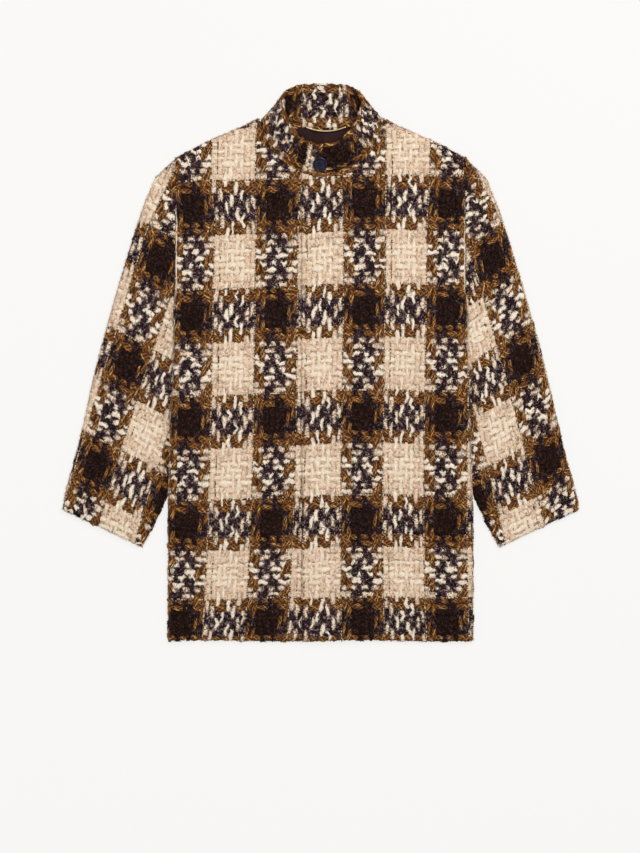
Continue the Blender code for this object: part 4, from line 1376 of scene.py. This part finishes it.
def dress_collar():
    shell = add_shell("collar", base_cloth("collar_ground", charted=False), sideways=True)
    lay = Lay((0.0, 0.0), (1.0, 0.0), (0.0, 1.0), COLLAR_PITCHES)
    shift = np.array([0.0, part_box("collar")[1].y / MM - (COLLAR_TOP_Y + COLLAR_TOP_RISE_BACK), 0.0])
    extras = []
    faces = (("collar_outside", 1.0, under_collar_end), ("collar_inside", -1.0, over_collar_end))
    for name, side, hidden in faces:
        more = collar_edges() if side > 0.0 else ()
        weave = Weave(name, lay, collar_surface(side, shift), hidden, more=more, curl=CURL_AMOUNT["collar"])
        extras += [weave.add_floats(), weave.add_strands(), weave.add_fuzz()]


def dress_lining():
    """Satin at the back neck, in soft folds that run down from the bar."""
    columns, rows = LINING_GRID
    x = np.linspace(*LINING_X, columns)
    across = np.clip((x - NECK_X) / NECK_POINT[0], -1.0, 1.0)
    top = BACK_NECK_Y + (NECK_POINT[1] - BACK_NECK_Y) * (1.0 - np.sqrt(1.0 - across**2)) + LINING_LAP
    share = np.linspace(0.0, 1.0, rows)[:, None]
    y = LINING_BOTTOM_Y + share * (top - LINING_BOTTOM_Y)
    x = np.broadcast_to(x, y.shape)
    calm = smoothstep(0.0, LINING_CALM, x - LINING_X[0]) * smoothstep(0.0, LINING_CALM, LINING_X[1] - x)
    begins, ends = LINING_OPEN_Y
    open_part = smoothstep(*begins, y) * (1.0 - smoothstep(*ends, y))
    drift = x + LINING_DRIFT * (y - LINING_DRIFT_Y) * np.sign(x - NECK_X)
    folds = LINING_FOLD
    for place, (rise, length, phase) in zip((drift, drift, x + 2.0 * y), LINING_WAVES):
        folds = folds + rise * np.sin(place / length + phase)
    height = LINING_HEIGHT + calm * open_part * np.maximum(folds, 0.0)
    tuck_length, tuck_depth = LINING_TUCK
    height = height - tuck_depth * smoothstep(-tuck_length, 0.0, y - top)
    upper = np.stack([x, y, height], axis=-1)
    lower = upper - np.array([0.0, 0.0, LINING_CLOTH])
    made = closed_sheet("lining_back_satin", upper, lower)
    finish_piece(made, ("satin",))
    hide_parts("lining_back")


def closed_sheet(name, upper, lower):
    """Closed mesh between an upper and a lower grid of points."""
    rows, columns = upper.shape[:2]
    index = np.arange(rows * columns).reshape(rows, columns)
    below = index + rows * columns
    quads = [index[:-1, :-1], index[:-1, 1:], index[1:, 1:], index[1:, :-1]]
    faces = np.stack(quads, axis=-1).reshape(-1, 4).tolist()
    faces += [[corner + rows * columns for corner in reversed(face)] for face in faces]
    rim = [*index[0], *index[1:, -1], *index[-1, -2::-1], *index[-2:0:-1, 0]]
    for first, second in zip(rim, rim[1:] + rim[:1]):
        faces.append([int(second), int(first), int(below.flat[first]), int(below.flat[second])])
    return smooth_piece(name, np.concatenate([upper.reshape(-1, 3), lower.reshape(-1, 3)]), faces)


def round_bar(name, path, radius, sides=BAR_SIDES):
    """Closed round bar along a path, with rounded ends."""
    rounding = np.sin(np.linspace(0.0, np.pi / 2.0, BAR_END_RINGS + 1)[:-1] + BAR_END_START)
    ahead = path[1] - path[0]
    behind = path[-1] - path[-2]
    ahead = ahead / np.linalg.norm(ahead)
    behind = behind / np.linalg.norm(behind)
    starts = [path[0] + ahead * radius * (1.0 - share) for share in rounding]
    stops = [path[-1] - behind * radius * (1.0 - share) for share in rounding[::-1]]
    centres = np.array([*starts, *path[2:-2], *stops])
    sizes = radius * np.array([*rounding, *[1.0] * (len(path) - 4), *rounding[::-1]])
    forward = np.gradient(centres, axis=0)
    forward[:BAR_END_RINGS] = ahead
    forward[-BAR_END_RINGS:] = behind
    forward /= np.linalg.norm(forward, axis=1)[:, None]
    aside = np.cross(forward, [0.0, 0.0, 1.0])
    aside /= np.linalg.norm(aside, axis=1)[:, None]
    above = np.cross(aside, forward)
    angle = -2.0 * np.pi * np.arange(sides) / sides
    rings = aside[:, None] * np.cos(angle)[:, None] + above[:, None] * np.sin(angle)[:, None]
    points = centres[:, None] + sizes[:, None, None] * rings
    faces = [face for face, _ in tube_faces(len(centres), sides)]
    return smooth_piece(name, points.reshape(-1, 3), faces)


def dress_bar():
    low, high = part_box("hanger_loop")
    x = np.linspace(*BAR_X, BAR_POINTS)
    y = low.y / MM + BAR_RADIUS + BAR_CURVE * (x - BAR_MIDDLE_X) ** 2
    height = np.full(len(x), (low.z + high.z) / 2.0 / MM)
    made = round_bar("hanging_bar", np.stack([x, y, height], axis=1), BAR_RADIUS)
    finish_piece(made, ("gilt",))
    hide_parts("hanger_loop")


def dress_button():
    """The solid button keeps its form, and two stitches of thread lie over it from hole to hole."""
    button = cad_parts["button"]
    button.data.materials.clear()
    button.data.materials.append(MATERIALS["navy"])
    middle, out, along = button_frame()
    span = np.linspace(-1.0, 1.0, STITCH_POINTS)[:, None]
    for name, side in (("right", -1.0), ("left", 1.0)):
        start = middle + out * BUTTON_DISH + np.array([side * BUTTON_HOLE_GAP, 0.0, 0.0])
        path = start + along * span * BUTTON_STITCH / 2.0 + out * STITCH_RISE * (1.0 - span**4)
        made = round_bar("button_stitch_" + name, path, STITCH_RADIUS, STITCH_SIDES)
        finish_piece(made, ("thread",))


def build_coat():
    dress_panel("back", "front_left", -1.0)
    dress_panel("under_sleeve_left", "sleeve_left", -1.0)
    dress_panel("under_sleeve_right", "sleeve_right", -1.0)
    dress_panel("front_right", "front_right", 1.0, under_left_front, armhole=-1.0)
    dress_panel("front_left", "front_left", 1.0, armhole=1.0)
    dress_panel("top_sleeve_left", "sleeve_left", 1.0, under_body)
    dress_panel("top_sleeve_right", "sleeve_right", 1.0, under_body)
    dress_collar()
    dress_lining()
    dress_bar()
    dress_button()


def add_floor():
    mesh = bpy.data.meshes.new("floor")
    corners = [(x * FLOOR_REACH, y * FLOOR_REACH, 0.0) for x, y in ((-1, -1), (1, -1), (1, 1), (-1, 1))]
    mesh.from_pydata(corners, [], [(0, 1, 2, 3)])
    floor = placed("floor", mesh)
    shader = Shader(
        "pale_floor", 0.9, Base_Color=FLOOR_COLOUR, Emission_Color=opaque(FLOOR_GLOW),
        Emission_Strength=FLOOR_GLOW_STRENGTH, Specular_IOR_Level=0.0,
    )
    mesh.materials.append(shader.material)


def add_light(name, place, size, power):
    light = bpy.data.lights.new(name, "AREA")
    light.shape = "DISK"
    light.size = size
    light.energy = power
    made = placed(name, light)
    made.location = place
    made.rotation_mode = "QUATERNION"
    made.rotation_quaternion = (Vector(LIGHT_TARGET) - Vector(place)).to_track_quat("-Z", "Y")


def add_camera():
    """Camera straight above, framed as the photograph is."""
    centre = plan_of_pixel((IMAGE_SIZE[0] / 2.0, IMAGE_SIZE[1] / 2.0)) * MM
    tall = IMAGE_SIZE[1] * MM_PER_PIXEL * MM
    camera = placed("camera", bpy.data.cameras.new("camera"))
    camera.data.sensor_width = SENSOR
    camera.data.lens = SENSOR * CAMERA_HEIGHT / tall
    camera.location = (centre[0], centre[1], CAMERA_HEIGHT)
    bpy.context.scene.camera = camera


def light_scene():
    scene = bpy.context.scene
    scene.view_settings.view_transform = "Standard"
    world = bpy.data.worlds.new("soft_studio")
    scene.world = world
    world.use_nodes = True
    background = world.node_tree.nodes["Background"].inputs
    background["Color"].default_value = WORLD_COLOUR
    background["Strength"].default_value = WORLD_STRENGTH
    for light in LIGHTS:
        add_light(*light)


add_camera()
light_scene()
add_floor()
build_coat()
